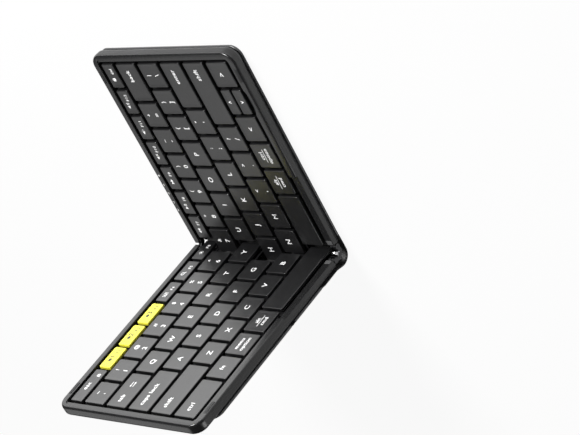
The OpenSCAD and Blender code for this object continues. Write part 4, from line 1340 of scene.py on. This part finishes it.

# %% [markdown]
# The sheet could be one curved surface, but its parts move with different bodies, so it is cut into ten strips
# whose ends meet. The strip round the spine rides the spine's body; the other nine stay where they are drawn.

# %% Ten strips of soft leather
MIDDLE, HALF_STRIP = FOLD / 2, math.radians(16)
SEAM, GLUED = 1.84 * MM, 4.4 * MM
SLIDE_END, RAMP, WINDOW = CREASE - 1.0 * MM, 1.5 * MM, 11.0 * MM
REACH = (SLIDE_END - GLUED - 2 * RAMP) / (1 - 2 * RAMP / WINDOW)
runs = [
    ("leather_right", [on_floor(x) for x in np.linspace(BOARD_START + 0.6 * MM, SEAM, 20)],
     ("right_half", "link"), None),
    ("leather_lower_bend", [on_floor(x) for x in np.linspace(SEAM, BEND_X, 6)][:-1]
     + arc_stations(0, MIDDLE - HALF_STRIP, 12), ("link", "spine"), None),
    ("leather_spine", arc_stations(MIDDLE - HALF_STRIP, MIDDLE + HALF_STRIP, 12), "spine", None),
    ("leather_upper_bend", arc_stations(MIDDLE + HALF_STRIP, FOLD, 12)[:-1]
     + [on_back(x) for x in np.linspace(END_X, SEAM, 7)], ("spine", "link"), None),
    ("leather_left", back_run(SEAM, GLUED, 12), ("link", "left_half"), None),
    ("leather_slide_start", back_run(GLUED, GLUED + RAMP, 5), ("left_half", "flap_slider"),
     (GLUED, GLUED + WINDOW)),
    ("leather_slide", back_run(GLUED + RAMP, SLIDE_END - RAMP, 28), ("left_half", "flap_slider"),
     (GLUED + RAMP - RAMP / WINDOW * REACH, SLIDE_END - RAMP + RAMP / WINDOW * REACH)),
    ("leather_slide_end", back_run(SLIDE_END - RAMP, SLIDE_END, 6), ("left_half", "flap_slider"),
     (SLIDE_END - WINDOW, SLIDE_END)),
    ("leather_first_crease", back_run(SLIDE_END, CREASE + 0.7 * MM, 7), ("flap_slider", "prop"), None),
    ("leather_second_crease", back_run(CREASE + PROP - 0.6 * MM, STAND + 0.6 * MM, 13,
                                       [CREASE + PROP, STAND]), ("prop", "stand"), None),
]
THICKNESS = {"leather_right": (HINGE_SIDE_T, SOFT_T)}
along = -BOARD_START
for name, stations, bodies, window in runs:
    piece, along = soft_piece(name, stations, along, THICKNESS.get(name, (SOFT_T, SOFT_T)))
    if isinstance(bodies, str):
        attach(piece, bodies)
        continue
    ends = [flat_back + flat_up * x for x in window] if window else [stations[0][0], stations[-1][0]]
    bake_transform(piece)
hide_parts("spine_leather")
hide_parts("spine_strip")
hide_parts("cover_strip")
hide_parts("crease_leather")
print("sheet runs", round(along / MM, 2), "mm from the hinge line to the stand board")

# %% [markdown]
# ## Floor, light and camera
# The floor is pale and plain, and it keeps the soft shadow. Seen directly, most of its light is a
# steady white glow, so that it stays even from edge to edge, and the rest is an ordinary dull
# surface that a shadow can fall on. A big square is enough, because it is never seen from below.

# %% Floor
HALF_FLOOR, FLOOR_Z, GLOW_SHARE = 6.0, -0.0002, 0.93
floor_mesh = bpy.data.meshes.new("floor")
corners = [(-1, -1), (1, -1), (1, 1), (-1, 1)]
floor_mesh.from_pydata([(x * HALF_FLOOR, y * HALF_FLOOR, FLOOR_Z) for x, y in corners], [], [(0, 1, 2, 3)])
floor = bpy.data.objects.new("floor", floor_mesh)
bpy.context.scene.collection.objects.link(floor)
material, tree, shader, place = new_finish("pale_floor")
shader.inputs["Base Color"].default_value = (0.86, 0.86, 0.86, 1)
shader.inputs["Roughness"].default_value = 0.9
glow = tree.nodes.new("ShaderNodeEmission")
glow.inputs["Color"].default_value = (1, 1, 1, 1)
glow.inputs["Strength"].default_value = 1.0
rays = tree.nodes.new("ShaderNodeLightPath")
share = tree.nodes.new("ShaderNodeMath")
share.operation = "MULTIPLY"
share.inputs[1].default_value = GLOW_SHARE
tree.links.new(rays.outputs["Is Camera Ray"], share.inputs[0])
blend_floor = tree.nodes.new("ShaderNodeMixShader")
tree.links.new(share.outputs[0], blend_floor.inputs["Fac"])
tree.links.new(shader.outputs[0], blend_floor.inputs[1])
tree.links.new(glow.outputs[0], blend_floor.inputs[2])
tree.links.new(blend_floor.outputs[0], tree.nodes["Material Output"].inputs["Surface"])
floor_mesh.materials.append(material)
print("floor made")

# %% [markdown]
# One soft light stands on the side that the raised half faces. It draws the bright edges of the
# caps. Two weak cards fill in from behind and from the front. Two more lie just above the floor,
# beyond the case's end and behind it, and shine up; the camera doesn't see them. The surroundings
# give little light, so the front walls stay dark and glossy, but the camera sees them as white.

# %% Light
DIM = 0.06
world = bpy.data.worlds.new("studio")
bpy.context.scene.world = world
world.use_nodes = True
tree = world.node_tree
tree.nodes.clear()
rays = tree.nodes.new("ShaderNodeLightPath")
dim, white = tree.nodes.new("ShaderNodeBackground"), tree.nodes.new("ShaderNodeBackground")
for background, strength in ((dim, DIM), (white, 1.0)):
    background.inputs["Color"].default_value = (1, 1, 1, 1)
    background.inputs["Strength"].default_value = strength
either = tree.nodes.new("ShaderNodeMixShader")
tree.links.new(rays.outputs["Is Camera Ray"], either.inputs["Fac"])
tree.links.new(dim.outputs[0], either.inputs[1])
tree.links.new(white.outputs[0], either.inputs[2])
output = tree.nodes.new("ShaderNodeOutputWorld")
tree.links.new(either.outputs[0], output.inputs["Surface"])


def soft_light(name, place, size, power, target=(0.05, 0.0, 0.05)):
    """A square soft light at a place, aimed at the target."""
    data = bpy.data.lights.new(name, "AREA")
    data.shape, data.size, data.energy = "SQUARE", size, power
    lamp = bpy.data.objects.new(name, data)
    lamp.location = place
    lamp.rotation_euler = (Vector(target) - Vector(place)).to_track_quat("-Z", "Y").to_euler()
    bpy.context.scene.collection.objects.link(lamp)
    return lamp


soft_light("side_softbox", (0.8, 0.12, 0.62), 0.4, 13.0, (0.06, 0.05, 0.05))
soft_light("back_card", (-0.55, 0.8, 0.7), 0.6, 1.0)
soft_light("front_card", (-0.4, -0.62, 0.1), 0.3, 1.1)
soft_light("low_card", (0.26, 0.32, 0.004), 0.48, 0.8, (0.26, 0.32, 1.0)).visible_camera = False
soft_light("end_card", (0.31, 0.0, 0.003), 0.3, 0.35, (0.31, 0.0, 1.0)).visible_camera = False
bpy.context.scene.view_settings.view_transform = "Standard"
print("lights", len(bpy.data.lights))

# %% [markdown]
# The camera looks down from the front with a strong roll, so the case's long side climbs through
# the view and the raised half leans across it. It is given by its place, the way it looks and
# which way is up for it. A long lens from far off keeps the keys' rows almost parallel.

# %% Camera
EYE = Vector((0.6105, -0.8784, 0.6680))
FORWARD = Vector((-0.4789, 0.6914, -0.5410)).normalized()
UPWARD = -Vector((-0.7721, -0.0385, 0.6343))
UPWARD = (UPWARD - FORWARD * UPWARD.dot(FORWARD)).normalized()
RIGHTWARD = FORWARD.cross(UPWARD)
camera_data = bpy.data.cameras.new("camera")
camera_data.lens, camera_data.sensor_width, camera_data.sensor_fit = 131.2, 36.0, "HORIZONTAL"
camera_data.clip_start = 0.05
camera = bpy.data.objects.new("camera", camera_data)
turned = Matrix((RIGHTWARD, UPWARD, -FORWARD)).transposed()
camera.matrix_world = Matrix.Translation(EYE) @ turned.to_4x4()
bpy.context.scene.collection.objects.link(camera)
bpy.context.scene.camera = camera
print("camera at", [round(v, 3) for v in EYE])
